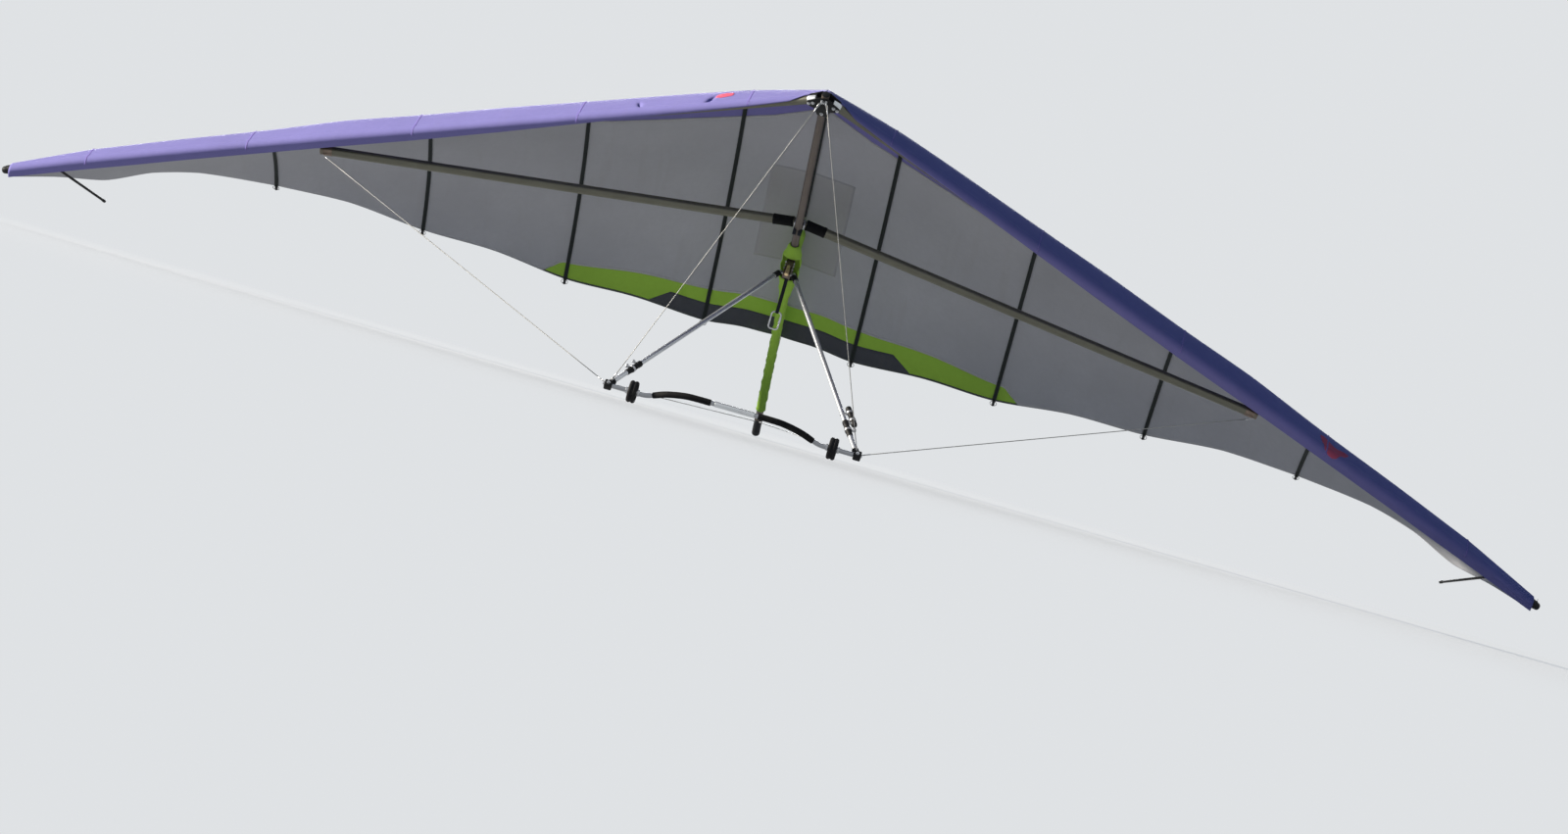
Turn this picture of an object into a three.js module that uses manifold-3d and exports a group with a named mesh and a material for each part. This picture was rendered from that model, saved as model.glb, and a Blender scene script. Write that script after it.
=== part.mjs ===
// Kingposted single-surface hang glider, parked nose up on its two base-bar wheels and the end of its keel.
// Glider frame, mm: X to the left wing, Y towards the tail, Z up, origin on the keel's axis over the control frame.
// The whole glider is then tipped back about X until the wheels and the keel's end cap touch the same floor.

import * as THREE from 'three';
import { mergeVertices } from 'three/addons/utils/BufferGeometryUtils.js';
import Module from 'manifold-3d';

const wasm = await Module();
wasm.setup();
const { Manifold, Mesh: ManifoldMesh } = wasm;

const GAP = 0.35; // clearance left between touching pieces

// keel and nose
const KEEL_R = 23;
const KEEL_NOSE_Y = -1500;
const KEEL_TAIL_Y = 1700;
const CAP_LENGTH = 60;
const CAP_R = 26;

// leading edges: the tube's axis runs through these places
const LE_R = 25;
const LE_NOSE_Y = -1466;
const LE_RAKE = 0.522; // mm back for every mm out
const LE_START_X = 46;
const LE_END_X = 4950;

// crossbar
const CROSS_R = 29;
const CROSS_CENTRE = { y: -280, z: 56 };
const CROSS_IN_X = 34;
const CROSS_TIP = { x: 2950, y: 172, z: -42 };

// control frame
const UPRIGHT_R = 14.5;
const UPRIGHT_TOP = { x: 44, y: 0, z: -126 };
const CORNER = { x: 745, y: -350, z: -1575 };
const BASE_R = 14;
const BASE_FORWARD = 100; // how far the base bar's middle stands ahead of its corners
const WHEEL_X = 598;
const WHEEL_R = 65;
const WHEEL_WIDTH = 50;
const GRIP_IN_X = 140;
const GRIP_OUT_X = 480;
const GRIP_R = 19;

// kingpost
const KING_R = 15;
const KING_Y = 20;
const KING_BASE_Z = 24;
const KING_TOP_Z = 1225;

// sail
const CLOTH = 5; // modelled thickness
const POCKET_R = 34; // middle of the cloth round the leading-edge tube
const CAMBER_AT = 0.28; // share of the chord where the camber is deepest
const BATTEN_R = 5.5;

// hang strap
const STRAP_Y = 95;
const STRAP_LENGTH = 240;
const STRAP_WIDTH = 21;
const STRAP_EYE_R = 6;
const PIN_R = 5.6;
const HANG_Z = -44;

const V = (x, y, z) => new THREE.Vector3(x, y, z);
const lerp = (a, b, t) => a + (b - a) * t;

// ---- finishes: colour, roughness, metalness
const FINISH = {
  violet: [0x9d8fd0, 0.75, 0],
  white: [0xc8c8cc, 0.75, 0],
  alloyOlive: [0x6c6a5c, 0.45, 0.8],
  alloyKeel: [0x645c55, 0.45, 0.8],
  silver: [0xb9bcbf, 0.3, 0.9],
  steel: [0x8d9093, 0.35, 0.9],
  black: [0x16181a, 0.6, 0],
  foam: [0x121314, 0.95, 0],
  rubber: [0x17181a, 0.8, 0],
  lime: [0x8fb32a, 0.8, 0],
  webbing: [0x2b2d33, 0.9, 0],
  wire: [0xa9adb0, 0.35, 0.9],
};

const glider = new THREE.Group();
const frame = new THREE.Group();
glider.add(frame);

function add(name, geometry, finish) {
  const [color, roughness, metalness] = FINISH[finish];
  const mesh = new THREE.Mesh(geometry, new THREE.MeshStandardMaterial({ color, roughness, metalness }));
  mesh.name = name;
  frame.add(mesh);
}

// ---- shapes
function rod(a, b, r, sides = 12, rEnd = r) {
  const g = new THREE.CylinderGeometry(rEnd, r, a.distanceTo(b), sides, 1);
  g.applyQuaternion(new THREE.Quaternion().setFromUnitVectors(V(0, 1, 0), b.clone().sub(a).normalize()));
  g.translate((a.x + b.x) / 2, (a.y + b.y) / 2, (a.z + b.z) / 2);
  return g;
}

function sleeve(a, b, rIn, rOut, sides = 16) {
  const h = a.distanceTo(b) / 2;
  const ring = [[rIn, -h], [rOut, -h], [rOut, h], [rIn, h], [rIn, -h]].map(([x, y]) => new THREE.Vector2(x, y));
  const g = new THREE.LatheGeometry(ring, sides);
  g.applyQuaternion(new THREE.Quaternion().setFromUnitVectors(V(0, 1, 0), b.clone().sub(a).normalize()));
  g.translate((a.x + b.x) / 2, (a.y + b.y) / 2, (a.z + b.z) / 2);
  return g;
}

function box(centre, size, grow = 0) {
  const g = new THREE.BoxGeometry(size.x + 2 * grow, size.y + 2 * grow, size.z + 2 * grow);
  g.translate(centre.x, centre.y, centre.z);
  return g;
}

function disc(rIn, rOut, sides) {
  const shape = new THREE.Shape();
  const hole = new THREE.Path();
  for (let i = 0; i < sides; i += 1) {
    const t = (i / sides) * 2 * Math.PI;
    shape[i ? 'lineTo' : 'moveTo'](rOut * Math.cos(t), rOut * Math.sin(t));
    if (rIn) hole[i ? 'lineTo' : 'moveTo'](rIn * Math.cos(t), rIn * Math.sin(t));
  }
  if (rIn) shape.holes.push(hole);
  return shape;
}

function swept(points, shape, steps) {
  const path = new THREE.CatmullRomCurve3(points, false, 'centripetal');
  return new THREE.ExtrudeGeometry(shape, { steps, extrudePath: path, bevelEnabled: false });
}

// round bar through the given places, straight between them
function pipe(points, r, sides, across, closed = false) {
  const positions = [];
  const faces = [];
  const n = points.length;
  points.forEach((p, k) => {
    const next = closed ? (k + 1) % n : Math.min(n - 1, k + 1);
    const before = closed ? (k + n - 1) % n : Math.max(0, k - 1);
    const t = points[next].clone().sub(points[before]).normalize();
    const u = across.clone().cross(t).normalize();
    const w = t.clone().cross(u);
    for (let i = 0; i < sides; i += 1) {
      const a = (i / sides) * 2 * Math.PI;
      const q = p.clone().addScaledVector(u, r * Math.cos(a)).addScaledVector(w, r * Math.sin(a));
      positions.push(q.x, q.y, q.z);
    }
  });
  const last = (n - 1) * sides;
  for (let i = 0; i < sides; i += 1) {
    const j = (i + 1) % sides;
    for (let k = 0; k < (closed ? n : n - 1) * sides; k += sides) {
      const m = (k + sides) % (n * sides);
      faces.push(k + i, k + j, m + j, k + i, m + j, m + i);
    }
    if (!closed && i > 0 && i + 1 < sides) faces.push(0, i + 1, i, last, last + i, last + i + 1);
  }
  const g = new THREE.BufferGeometry();
  g.setAttribute('position', new THREE.BufferAttribute(Float32Array.from(positions), 3));
  g.setIndex(faces);
  return g;
}

function toSolid(geometry) {
  const bare = geometry.clone();
  bare.deleteAttribute('normal');
  bare.deleteAttribute('uv');
  const g = mergeVertices(bare, 1e-3);
  const solid = new Manifold(
    new ManifoldMesh({
      numProp: 3,
      vertProperties: Float32Array.from(g.attributes.position.array),
      triVerts: Uint32Array.from(g.index.array),
    }),
  );
  return solid;
}

function cut(geometry, ...tools) {
  let solid = toSolid(geometry);
  for (const tool of tools) solid = solid.subtract(toSolid(tool));
  return fromSolid(solid);
}

function joined(...geometries) {
  return fromSolid(geometries.map(toSolid).reduce((a, b) => a.add(b)));
}

function fromSolid(solid) {
  const mesh = solid.getMesh();
  const g = new THREE.BufferGeometry();
  g.setAttribute('position', new THREE.BufferAttribute(Float32Array.from(mesh.vertProperties), mesh.numProp));
  g.setIndex(new THREE.BufferAttribute(Uint32Array.from(mesh.triVerts), 1));
  return g;
}

// ---- the sail's sections, one row for each place out along the wing
const SECTION_COLUMNS = ['x', 'leZ', 'teY', 'teZ', 'camber', 'wrap'];
const SECTIONS = [
  [0.4, 0, 870, 102, 190, 62],
  [160, 0, 915, 118, 215, 62],
  [480, -3, 1010, 170, 258, 62],
  [940, -8, 1042, 208, 250, 62],
  [1400, -14, 1108, 262, 234, 62],
  [1880, -20, 1096, 300, 204, 62],
  [2360, -28, 1130, 347, 172, 62],
  [2860, -36, 1130, 384, 140, 60],
  [3350, -48, 1192, 418, 92, 58],
  [3850, -62, 1270, 400, 64, 56],
  [4160, -74, 1350, 362, 54, 54],
  [4450, -86, 1470, 300, 52, 52],
  [4700, -100, 1330, 110, 32, 46],
  [4930, -114, 1235, -60, 15, 42],
].map((row) => Object.fromEntries(row.map((value, i) => [SECTION_COLUMNS[i], value])));

function sectionAt(x) {
  const i = Math.max(1, SECTIONS.findIndex((s) => s.x >= x));
  const [a, b] = [SECTIONS[i - 1], SECTIONS[i]];
  const t = (x - a.x) / (b.x - a.x);
  return Object.fromEntries(SECTION_COLUMNS.map((k) => [k, lerp(a[k], b[k], t)]));
}

const leY = (x) => LE_NOSE_Y + LE_RAKE * x;
const leAt = (x) => V(x, leY(x), sectionAt(x).leZ);

function camberShape(s) {
  const p = CAMBER_AT;
  return s < p ? 1 - (1 - s / p) ** 3 : (1 - 2 * p + 2 * p * s - s * s) / ((1 - p) * (1 - p));
}

const TOP_SHARES = [0.02, 0.05, 0.1, 0.17, 0.26, 0.38, 0.52, 0.68, 0.84, 1];
const ARC_STEPS = 7;
const SEAM = 2 + ARC_STEPS + 4; // where the violet pocket is sewn to the white panel
const LINE_END = 2 + ARC_STEPS + 1 + TOP_SHARES.length;
const ARC_END = (122 * Math.PI) / 180;

// middle of the cloth, from the wrap's rear edge, round the tube, back over the top to the trailing edge: [y, z] pairs
function sectionLine(s) {
  const y0 = leY(s.x);
  const line = [];
  for (const t of [1, 0.5]) line.push([y0 + s.wrap * t, s.leZ - POCKET_R + 0.02 * s.wrap * t]);
  for (let i = 0; i <= ARC_STEPS; i += 1) {
    const a = lerp(-Math.PI / 2, -2 * Math.PI + ARC_END, i / ARC_STEPS);
    line.push([y0 - POCKET_R * Math.cos(a) * -1, s.leZ + POCKET_R * Math.sin(a)]);
  }
  const [ys, zs] = line[line.length - 1];
  for (const t of TOP_SHARES) line.push([lerp(ys, s.teY, t), lerp(zs, s.teZ, t) + s.camber * camberShape(t)]);
  return line;
}

function offsetLine(line, d) {
  return line.map(([y, z], i) => {
    const a = line[Math.max(0, i - 1)];
    const b = line[Math.min(line.length - 1, i + 1)];
    const l = Math.hypot(b[0] - a[0], b[1] - a[1]);
    return [y + (d * (b[1] - a[1])) / l, z - (d * (b[0] - a[0])) / l];
  });
}

// one strip of the sail, between two places along the section's line
function sailGeometry(side, from, to, trim) {
  const rings = SECTIONS.map((s) => {
    const line = sectionLine(s);
    const [a, b] = trim ? [line[from], line[from + 1]] : [[0, 0], [1, 0]];
    const l = Math.hypot(b[0] - a[0], b[1] - a[1]);
    const pick = (set) => set.slice(from, to).map(([y, z], i) => (trim && !i ? [y + (trim * (b[0] - a[0])) / l, z + (trim * (b[1] - a[1])) / l] : [y, z]));
    const outer = pick(offsetLine(line, -CLOTH / 2));
    const inner = pick(offsetLine(line, CLOTH / 2)).reverse();
    return [...outer, ...inner].map(([y, z]) => [side * s.x, y, z]);
  });
  const n = rings[0].length;
  const half = n / 2;
  const positions = rings.flat(2);
  const faces = [];
  const quad = (a, b, c, d) => faces.push(a, b, c, a, c, d);
  for (let k = 0; k + 1 < rings.length; k += 1) {
    for (let i = 0; i < n; i += 1) {
      const j = (i + 1) % n;
      quad(k * n + i, k * n + j, (k + 1) * n + j, (k + 1) * n + i);
    }
  }
  for (let i = 0; i + 1 < half; i += 1) {
    const [a, b, c, d] = [i, i + 1, n - 2 - i, n - 1 - i];
    quad(a, d, c, b);
    const k = (rings.length - 1) * n;
    quad(k + a, k + b, k + c, k + d);
  }
  if (side > 0) faces.reverse();
  const g = new THREE.BufferGeometry();
  g.setAttribute('position', new THREE.BufferAttribute(Float32Array.from(positions), 3));
  g.setIndex(faces);
  return g;
}

// a line under the sail at one place out, hung a set distance below its middle
function underSail(x, below, from, overhang) {
  const s = sectionAt(x);
  const line = offsetLine(sectionLine(s), below).slice(2 + ARC_STEPS + 1);
  const pts = line.filter(([y]) => y > leY(x) + from).map(([y, z]) => V(x, y, z));
  const [a, b] = [pts[pts.length - 2], pts[pts.length - 1]];
  pts.push(b.clone().addScaledVector(b.clone().sub(a).normalize(), overhang));
  return pts;
}

const mirrored = (v, side) => V(v.x * side, v.y, v.z);
const SIDES = [
  { word: 'left', side: 1 },
  { word: 'right', side: -1 },
];

// ---- keel, nose and tail
add('keel_tube', rod(V(0, KEEL_NOSE_Y, 0), V(0, KEEL_TAIL_Y, 0), KEEL_R, 16), 'alloyKeel');
add(
  'keel_end_cap',
  rod(V(0, KEEL_TAIL_Y + GAP, 0), V(0, KEEL_TAIL_Y + CAP_LENGTH, 0), CAP_R, 16),
  'black',
);

function nosePlate(z) {
  const shape = new THREE.Shape();
  const outline = [[-30, -1490], [30, -1490], [120, -1375], [95, -1325], [26, -1280], [-26, -1280], [-95, -1325], [-120, -1375]];
  outline.forEach(([x, y], i) => shape[i ? 'lineTo' : 'moveTo'](x, y));
  const g = new THREE.ExtrudeGeometry(shape, { depth: 4, bevelEnabled: false });
  g.translate(0, 0, z);
  return g;
}
const PLATE_GAP = LE_R + GAP;
add('nose_plate_upper', nosePlate(PLATE_GAP), 'black');
add('nose_plate_lower', nosePlate(-PLATE_GAP - 4), 'black');

// ---- kingpost
const KING_BASE = { size: V(40, 60, 26), centre: V(0, KING_Y, KING_BASE_Z + 13) };
add('kingpost_base', box(KING_BASE.centre, KING_BASE.size), 'black');
const kingFoot = KING_BASE_Z + 26 + GAP;
add('kingpost', rod(V(0, KING_Y, kingFoot), V(0, KING_Y, KING_TOP_Z), KING_R, 14), 'silver');
const KING_CAP = { size: V(34, 46, 40), centre: V(0, KING_Y, KING_TOP_Z + GAP + 20) };
add('kingpost_cap', box(KING_CAP.centre, KING_CAP.size), 'black');

const FRONT_TOP = V(0, -1330, PLATE_GAP + 4);

// ---- apex bracket
const APEX = { size: V(46, 56, 126), centre: V(0, 0, -KEEL_R - GAP - 63) };
add('apex_bracket', box(APEX.centre, APEX.size), 'black');

// ---- base bar
const BASE_HALF = CORNER.x - 24 - GAP;
const basePath = [
  V(BASE_HALF, CORNER.y, CORNER.z),
  V(660, CORNER.y, CORNER.z),
  V(600, CORNER.y, CORNER.z),
  V(520, CORNER.y, CORNER.z),
  V(400, CORNER.y - 0.62 * BASE_FORWARD, CORNER.z),
  V(290, CORNER.y - 0.95 * BASE_FORWARD, CORNER.z),
  V(210, CORNER.y - BASE_FORWARD, CORNER.z),
  V(150, CORNER.y - BASE_FORWARD, CORNER.z),
  V(75, CORNER.y - BASE_FORWARD, CORNER.z),
  V(0, CORNER.y - BASE_FORWARD, CORNER.z),
];
const wholeBase = [...basePath, ...basePath.slice(0, -1).reverse().map((v) => mirrored(v, -1))];
const BASE_CURVE = new THREE.CatmullRomCurve3(wholeBase, false, 'centripetal');
const BASE_STEPS = 60;
const baseSamples = BASE_CURVE.getSpacedPoints(BASE_STEPS);
add('base_tube', new THREE.ExtrudeGeometry(disc(0, BASE_R, 12), { steps: BASE_STEPS, extrudePath: BASE_CURVE, bevelEnabled: false }), 'silver');
add('base_tube_sleeve', sleeve(V(-118, CORNER.y - BASE_FORWARD, CORNER.z), V(118, CORNER.y - BASE_FORWARD, CORNER.z), BASE_R + 0.8, BASE_R + 2.5), 'steel');

for (const { word, side } of SIDES) {
  const at = (v) => mirrored(v, side);

  // leading-edge tube and its end cap
  const lePoints = [LE_START_X, 480, 940, 1400, 1880, 2360, 2860, 3350, 3850, 4160, 4450, 4700, LE_END_X - 25].map((x) => at(leAt(Math.min(x, 4930))));
  const tip = leAt(4930);
  const run = tip.clone().sub(leAt(4700)).normalize();
  lePoints[lePoints.length - 1] = at(tip.clone().addScaledVector(run, 12));
  add(`leading_edge_tube_${word}`, swept(lePoints, disc(0, LE_R, 12), 24), 'alloyOlive');
  const capFrom = tip.clone().addScaledVector(run, 12 + 0.5);
  const capTo = tip.clone().addScaledVector(run, 50);
  add(`tip_cap_${word}`, rod(at(capFrom), at(capTo), LE_R + 2, 12, LE_R - 6), 'black');

  // crossbar half with its inner sleeve, and the bracket that ties it to the leading edge
  const crossIn = V(CROSS_IN_X, lerp(CROSS_CENTRE.y, CROSS_TIP.y, CROSS_IN_X / CROSS_TIP.x), lerp(CROSS_CENTRE.z, CROSS_TIP.z, CROSS_IN_X / CROSS_TIP.x));
  const crossOut = V(CROSS_TIP.x, CROSS_TIP.y, CROSS_TIP.z);
  add(`crossbar_${word}`, rod(at(crossIn), at(crossOut), CROSS_R, 16), 'alloyOlive');
  const along = crossOut.clone().sub(crossIn).normalize();
  const sleeveFrom = crossIn.clone().addScaledVector(along, 4);
  const sleeveTo = crossIn.clone().addScaledVector(along, 130);
  add(`crossbar_sleeve_${word}`, sleeve(at(sleeveFrom), at(sleeveTo), CROSS_R + 1, CROSS_R + 4), 'black');
  const plate = (grow) => {
    const g = new THREE.BoxGeometry(150 + 2 * grow, 46 + 2 * grow, 6 + 2 * grow);
    g.rotateZ(-side * 1.05);
    g.translate(side * (CROSS_TIP.x + 2), CROSS_TIP.y - 30, CROSS_TIP.z + CROSS_R + 4.2);
    return g;
  };
  const leTool = rod(at(leAt(2860)), at(leAt(3060)), LE_R + GAP + 0.3, 24);
  add(`crossbar_bracket_${word}`, cut(plate(0), leTool, rod(at(crossIn), at(crossOut), CROSS_R + GAP, 24)), 'steel');

  // control frame: upright, lower sleeve, corner bracket, grip, wheel
  const top = V(UPRIGHT_TOP.x, UPRIGHT_TOP.y, UPRIGHT_TOP.z);
  const corner = V(CORNER.x, CORNER.y, CORNER.z);
  const down = corner.clone().sub(top).normalize();
  const head = top.clone().addScaledVector(down, -62);
  add(`upright_${word}`, cut(rod(at(head), at(corner), UPRIGHT_R, 14), box(at(corner), V(48, 48, 48), GAP), box(APEX.centre, APEX.size, GAP)), 'silver');
  const kneeFrom = corner.clone().addScaledVector(down, -300);
  const kneeTo = corner.clone().addScaledVector(down, -170);
  add(`upright_sleeve_${word}`, sleeve(at(kneeFrom), at(kneeTo), UPRIGHT_R + 1, UPRIGHT_R + 5), 'black');
  add(`corner_bracket_${word}`, box(at(corner), V(48, 48, 48)), 'black');

  const gripPoints = baseSamples.filter((p) => p.x * side >= GRIP_IN_X && p.x * side <= GRIP_OUT_X);
  const gripSteps = gripPoints.length * 2;
  add(`grip_${word}`, swept(gripPoints, disc(BASE_R + 1.6, GRIP_R, 14), gripSteps), 'foam');

  const wheel = [[16, -25], [26, -WHEEL_WIDTH / 2], [WHEEL_R - 8, -WHEEL_WIDTH / 2], [WHEEL_R, -WHEEL_WIDTH / 2 + 8], [WHEEL_R, WHEEL_WIDTH / 2 - 8], [WHEEL_R - 8, WHEEL_WIDTH / 2], [26, WHEEL_WIDTH / 2], [16, 25], [16, -25]];
  const wheelGeometry = new THREE.LatheGeometry(wheel.map(([x, y]) => new THREE.Vector2(x, y)), 32);
  wheelGeometry.rotateZ(-Math.PI / 2);
  wheelGeometry.translate(side * WHEEL_X, CORNER.y, CORNER.z);
  add(`wheel_${word}`, wheelGeometry, 'rubber');

  // rigging, each wire trimmed where it meets its fitting
  const WIRE_R = 1.6;
  const cornerTool = box(at(corner), V(48, 48, 48), GAP);
  const kingTool = box(KING_CAP.centre, KING_CAP.size, GAP);
  const sideEnd = V(CROSS_TIP.x - 8, CROSS_TIP.y, CROSS_TIP.z - CROSS_R - 1);
  add(`side_wire_${word}`, cut(rod(at(corner), at(sideEnd), WIRE_R, 6), cornerTool, rod(at(crossIn), at(crossOut), CROSS_R + GAP, 24)), 'wire');
  const noseUnder = V(14, -1470, -PLATE_GAP - 4);
  add(`front_wire_${word}`, cut(rod(at(corner), at(noseUnder), WIRE_R, 6), cornerTool, box(V(0, -1385, -PLATE_GAP - 2), V(240, 210, 4), GAP)), 'wire');
  const tailSide = V(0, KEEL_TAIL_Y - 60, 0);
  add(`rear_wire_${word}`, cut(rod(at(corner), at(tailSide), WIRE_R, 6), cornerTool, rod(V(0, 0, 0), V(0, KEEL_TAIL_Y + 50, 0), KEEL_R + GAP, 24)), 'wire');
  const bracketTop = V(CROSS_TIP.x + 6, CROSS_TIP.y - 40, CROSS_TIP.z + CROSS_R + 5);
  const topWire = rod(at(V(KING_CAP.centre.x, KING_CAP.centre.y, KING_CAP.centre.z)), at(bracketTop), WIRE_R, 6);
  add(`top_side_wire_${word}`, cut(topWire, kingTool, plate(GAP)), 'wire');

  // sail, battens and tip rod
  const kingHole = rod(V(0, KING_Y, 0), V(0, KING_Y, 400), KING_R + 22, 16);
  const noseRoom = box(V(side * 60, -1375, -20), V(180, 450, 126));
  const hole = bracketTop.clone().sub(V(0, KING_Y, KING_CAP.centre.z)).normalize();
  const frontHole = rod(KING_CAP.centre, FRONT_TOP, 8, 8);
  const wireHole = rod(at(bracketTop), at(bracketTop.clone().addScaledVector(hole, -1150)), 9, 8);
  const openings = [kingHole, noseRoom, wireHole, plate(1), frontHole];
  add(`leading_edge_pocket_${word}`, cut(sailGeometry(side, 0, SEAM + 1, 0), ...openings), 'violet');
  add(`sail_${word}`, cut(sailGeometry(side, SEAM, LINE_END, 0.4), ...openings), 'white');
  [480, 1400, 2360, 3350].forEach((x, i) => {
    const pts = underSail(x, CLOTH / 2 + BATTEN_R + 0.8, 70, 34).map(at);
    add(`batten_${word}_${i + 1}`, pipe(pts, BATTEN_R, 8, V(1, 0, 0)), 'black');
  });
  const rodStart = leAt(4660);
  const rodEnd = V(4400, 1505, 158);
  const rodTool = rod(at(leAt(4550)), at(leAt(4800)), LE_R + GAP + 0.3, 24);
  add(`tip_rod_${word}`, cut(rod(at(rodStart), at(rodEnd), 7, 10), rodTool), 'black');
}

// ---- centreline rigging
const kingTool = box(KING_CAP.centre, KING_CAP.size, GAP);
add('top_front_wire', cut(rod(KING_CAP.centre, FRONT_TOP, 1.6, 6), kingTool, box(V(0, -1385, PLATE_GAP + 2), V(240, 210, 4), GAP)), 'wire');
const rearTop = V(0, KEEL_TAIL_Y - 50, 0);
add('top_rear_wire', cut(rod(KING_CAP.centre, rearTop, 1.6, 6), kingTool, rod(V(0, 0, 0), V(0, KEEL_TAIL_Y + 50, 0), KEEL_R + GAP, 24)), 'wire');

// ---- block that joins the crossbar's halves over the keel
const crossHalf = (side, r) => rod(V(side * CROSS_IN_X, CROSS_CENTRE.y + 5, CROSS_CENTRE.z - 1), mirrored(V(CROSS_TIP.x, CROSS_TIP.y, CROSS_TIP.z), side), r, 24);
const joinSize = V(2 * CROSS_IN_X + 8, 44, 54);
const joinCentre = V(0, CROSS_CENTRE.y + 5, KEEL_R + GAP + 27);
add('crossbar_joint', cut(box(joinCentre, joinSize), crossHalf(1, CROSS_R + 4.6), crossHalf(-1, CROSS_R + 4.6)), 'steel');

// ---- keel pocket: cloth sleeve round the rear keel, with a web up to the middle of the sail
const POCKET = { from: -140, to: 1500, webFrom: -130, webTo: 862, inner: KEEL_R + 0.8, outer: KEEL_R + 5.5 };
function pocketWeb() {
  const top = offsetLine(sectionLine(SECTIONS[0]), CLOTH / 2 + 0.8).slice(SEAM).filter(([y]) => y > POCKET.webFrom && y < POCKET.webTo);
  const outline = [[POCKET.webFrom, KEEL_R + 3], [POCKET.webTo, KEEL_R + 3], ...top.reverse()];
  const shape = new THREE.Shape();
  outline.forEach(([y, z], i) => shape[i ? 'lineTo' : 'moveTo'](y, z));
  const g = new THREE.ExtrudeGeometry(shape, { depth: CLOTH, bevelEnabled: false });
  g.translate(0, 0, -CLOTH / 2);
  g.applyMatrix4(new THREE.Matrix4().set(0, 0, 1, 0, 1, 0, 0, 0, 0, 1, 0, 0, 0, 0, 0, 1));
  return g;
}
const kingRoom = box(V(0, KING_Y, 200), V(44, 66, 400));
const pocketBody = joined(sleeve(V(0, POCKET.from, 0), V(0, POCKET.to, 0), POCKET.inner, POCKET.outer, 20), pocketWeb());
const strapRoom = box(V(0, STRAP_Y, -40), V(34, 60, 60));
add('keel_pocket', cut(pocketBody, kingRoom, box(APEX.centre, APEX.size, 1), strapRoom), 'lime');

// ---- pitch at which the wheels and the keel's end cap stand on one floor
const wheelLow = (a) => -CORNER.y * Math.sin(a) + CORNER.z * Math.cos(a) - WHEEL_R;
const tailLow = (a) => -(KEEL_TAIL_Y + CAP_LENGTH) * Math.sin(a) - CAP_R * Math.cos(a);
let [low, high] = [0.2, 1.2];
for (let i = 0; i < 60; i += 1) {
  const mid = (low + high) / 2;
  if (wheelLow(mid) < tailLow(mid)) low = mid;
  else high = mid;
}
const PITCH = (low + high) / 2;

// ---- hang bracket under the keel, its pin, and the strap and carabiner that swing on it, plumb once parked
const cheek = (side) => box(V(side * 14.5, STRAP_Y, -KEEL_R - GAP - 17), V(4, 34, 34));
const bridge = box(V(0, STRAP_Y, -KEEL_R - GAP - 2), V(33, 34, 4));
const pin = rod(V(-15, STRAP_Y, HANG_Z), V(15, STRAP_Y, HANG_Z), PIN_R, 20);
add('hang_bracket', joined(bridge, cheek(1), cheek(-1), pin), 'steel');

function stadium(path, r, length) {
  path.absarc(0, 0, r, 0, Math.PI, false);
  path.absarc(0, -length, r, Math.PI, 2 * Math.PI, false);
  path.closePath();
}
const band = new THREE.Shape();
const bandHole = new THREE.Path();
stadium(band, STRAP_EYE_R + 3, STRAP_LENGTH);
stadium(bandHole, STRAP_EYE_R, STRAP_LENGTH);
band.holes.push(bandHole);
const strap = new THREE.ExtrudeGeometry(band, { depth: STRAP_WIDTH, bevelEnabled: false, curveSegments: 10 });
strap.translate(0, 0, -STRAP_WIDTH / 2);
strap.applyMatrix4(new THREE.Matrix4().set(0, 0, 1, 0, 1, 0, 0, 0, 0, 1, 0, 0, 0, 0, 0, 1));
strap.rotateX(PITCH);
strap.translate(0, STRAP_Y, HANG_Z);
add('hang_strap', strap, 'webbing');

// closed bar with a straight top that lies in the strap's lower eye
const CARABINER = { half: 29, height: 104, bend: 17, r: 5.4 };
const barPoints = [];
for (const [cx, cz, from] of [[1, 0, 90], [1, -1, 0], [-1, -1, -90], [-1, 0, -180]]) {
  for (let i = 0; i <= 5; i += 1) {
    const a = ((from - i * 18) * Math.PI) / 180;
    const x = cx * (CARABINER.half - CARABINER.bend) + CARABINER.bend * Math.cos(a);
    const z = (cz ? -CARABINER.height + CARABINER.bend : -CARABINER.bend) + CARABINER.bend * Math.sin(a);
    barPoints.push(V(x, 0, z));
  }
}
const carabiner = pipe(barPoints, CARABINER.r, 10, V(0, 1, 0), true);
carabiner.translate(0, 0, -STRAP_LENGTH);
carabiner.rotateX(PITCH);
carabiner.translate(0, STRAP_Y, HANG_Z);
add('carabiner', carabiner, 'steel');

// ---- park it: nose up, standing on the floor, middle of its box over the origin
frame.rotation.x = -PITCH;
frame.updateMatrixWorld(true);
const bounds = new THREE.Box3().setFromObject(frame, true);
frame.position.set(-(bounds.min.x + bounds.max.x) / 2, -(bounds.min.y + bounds.max.y) / 2, -bounds.min.z);
glider.updateMatrixWorld(true);

export default glider;
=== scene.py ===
"""Dresses the parked hang glider: sailcloth, tubes, rigging, fittings and wheels, in metres.

Each piece is made in the glider's own axes (X to its left wing, Y to its tail, Z up, keel on the Y axis) and
is then parked: turned nose up and set on its two base-bar wheels and the keel's end.
"""
import bisect
import math

import bmesh
import bpy
from mathutils import Matrix, Vector


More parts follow.
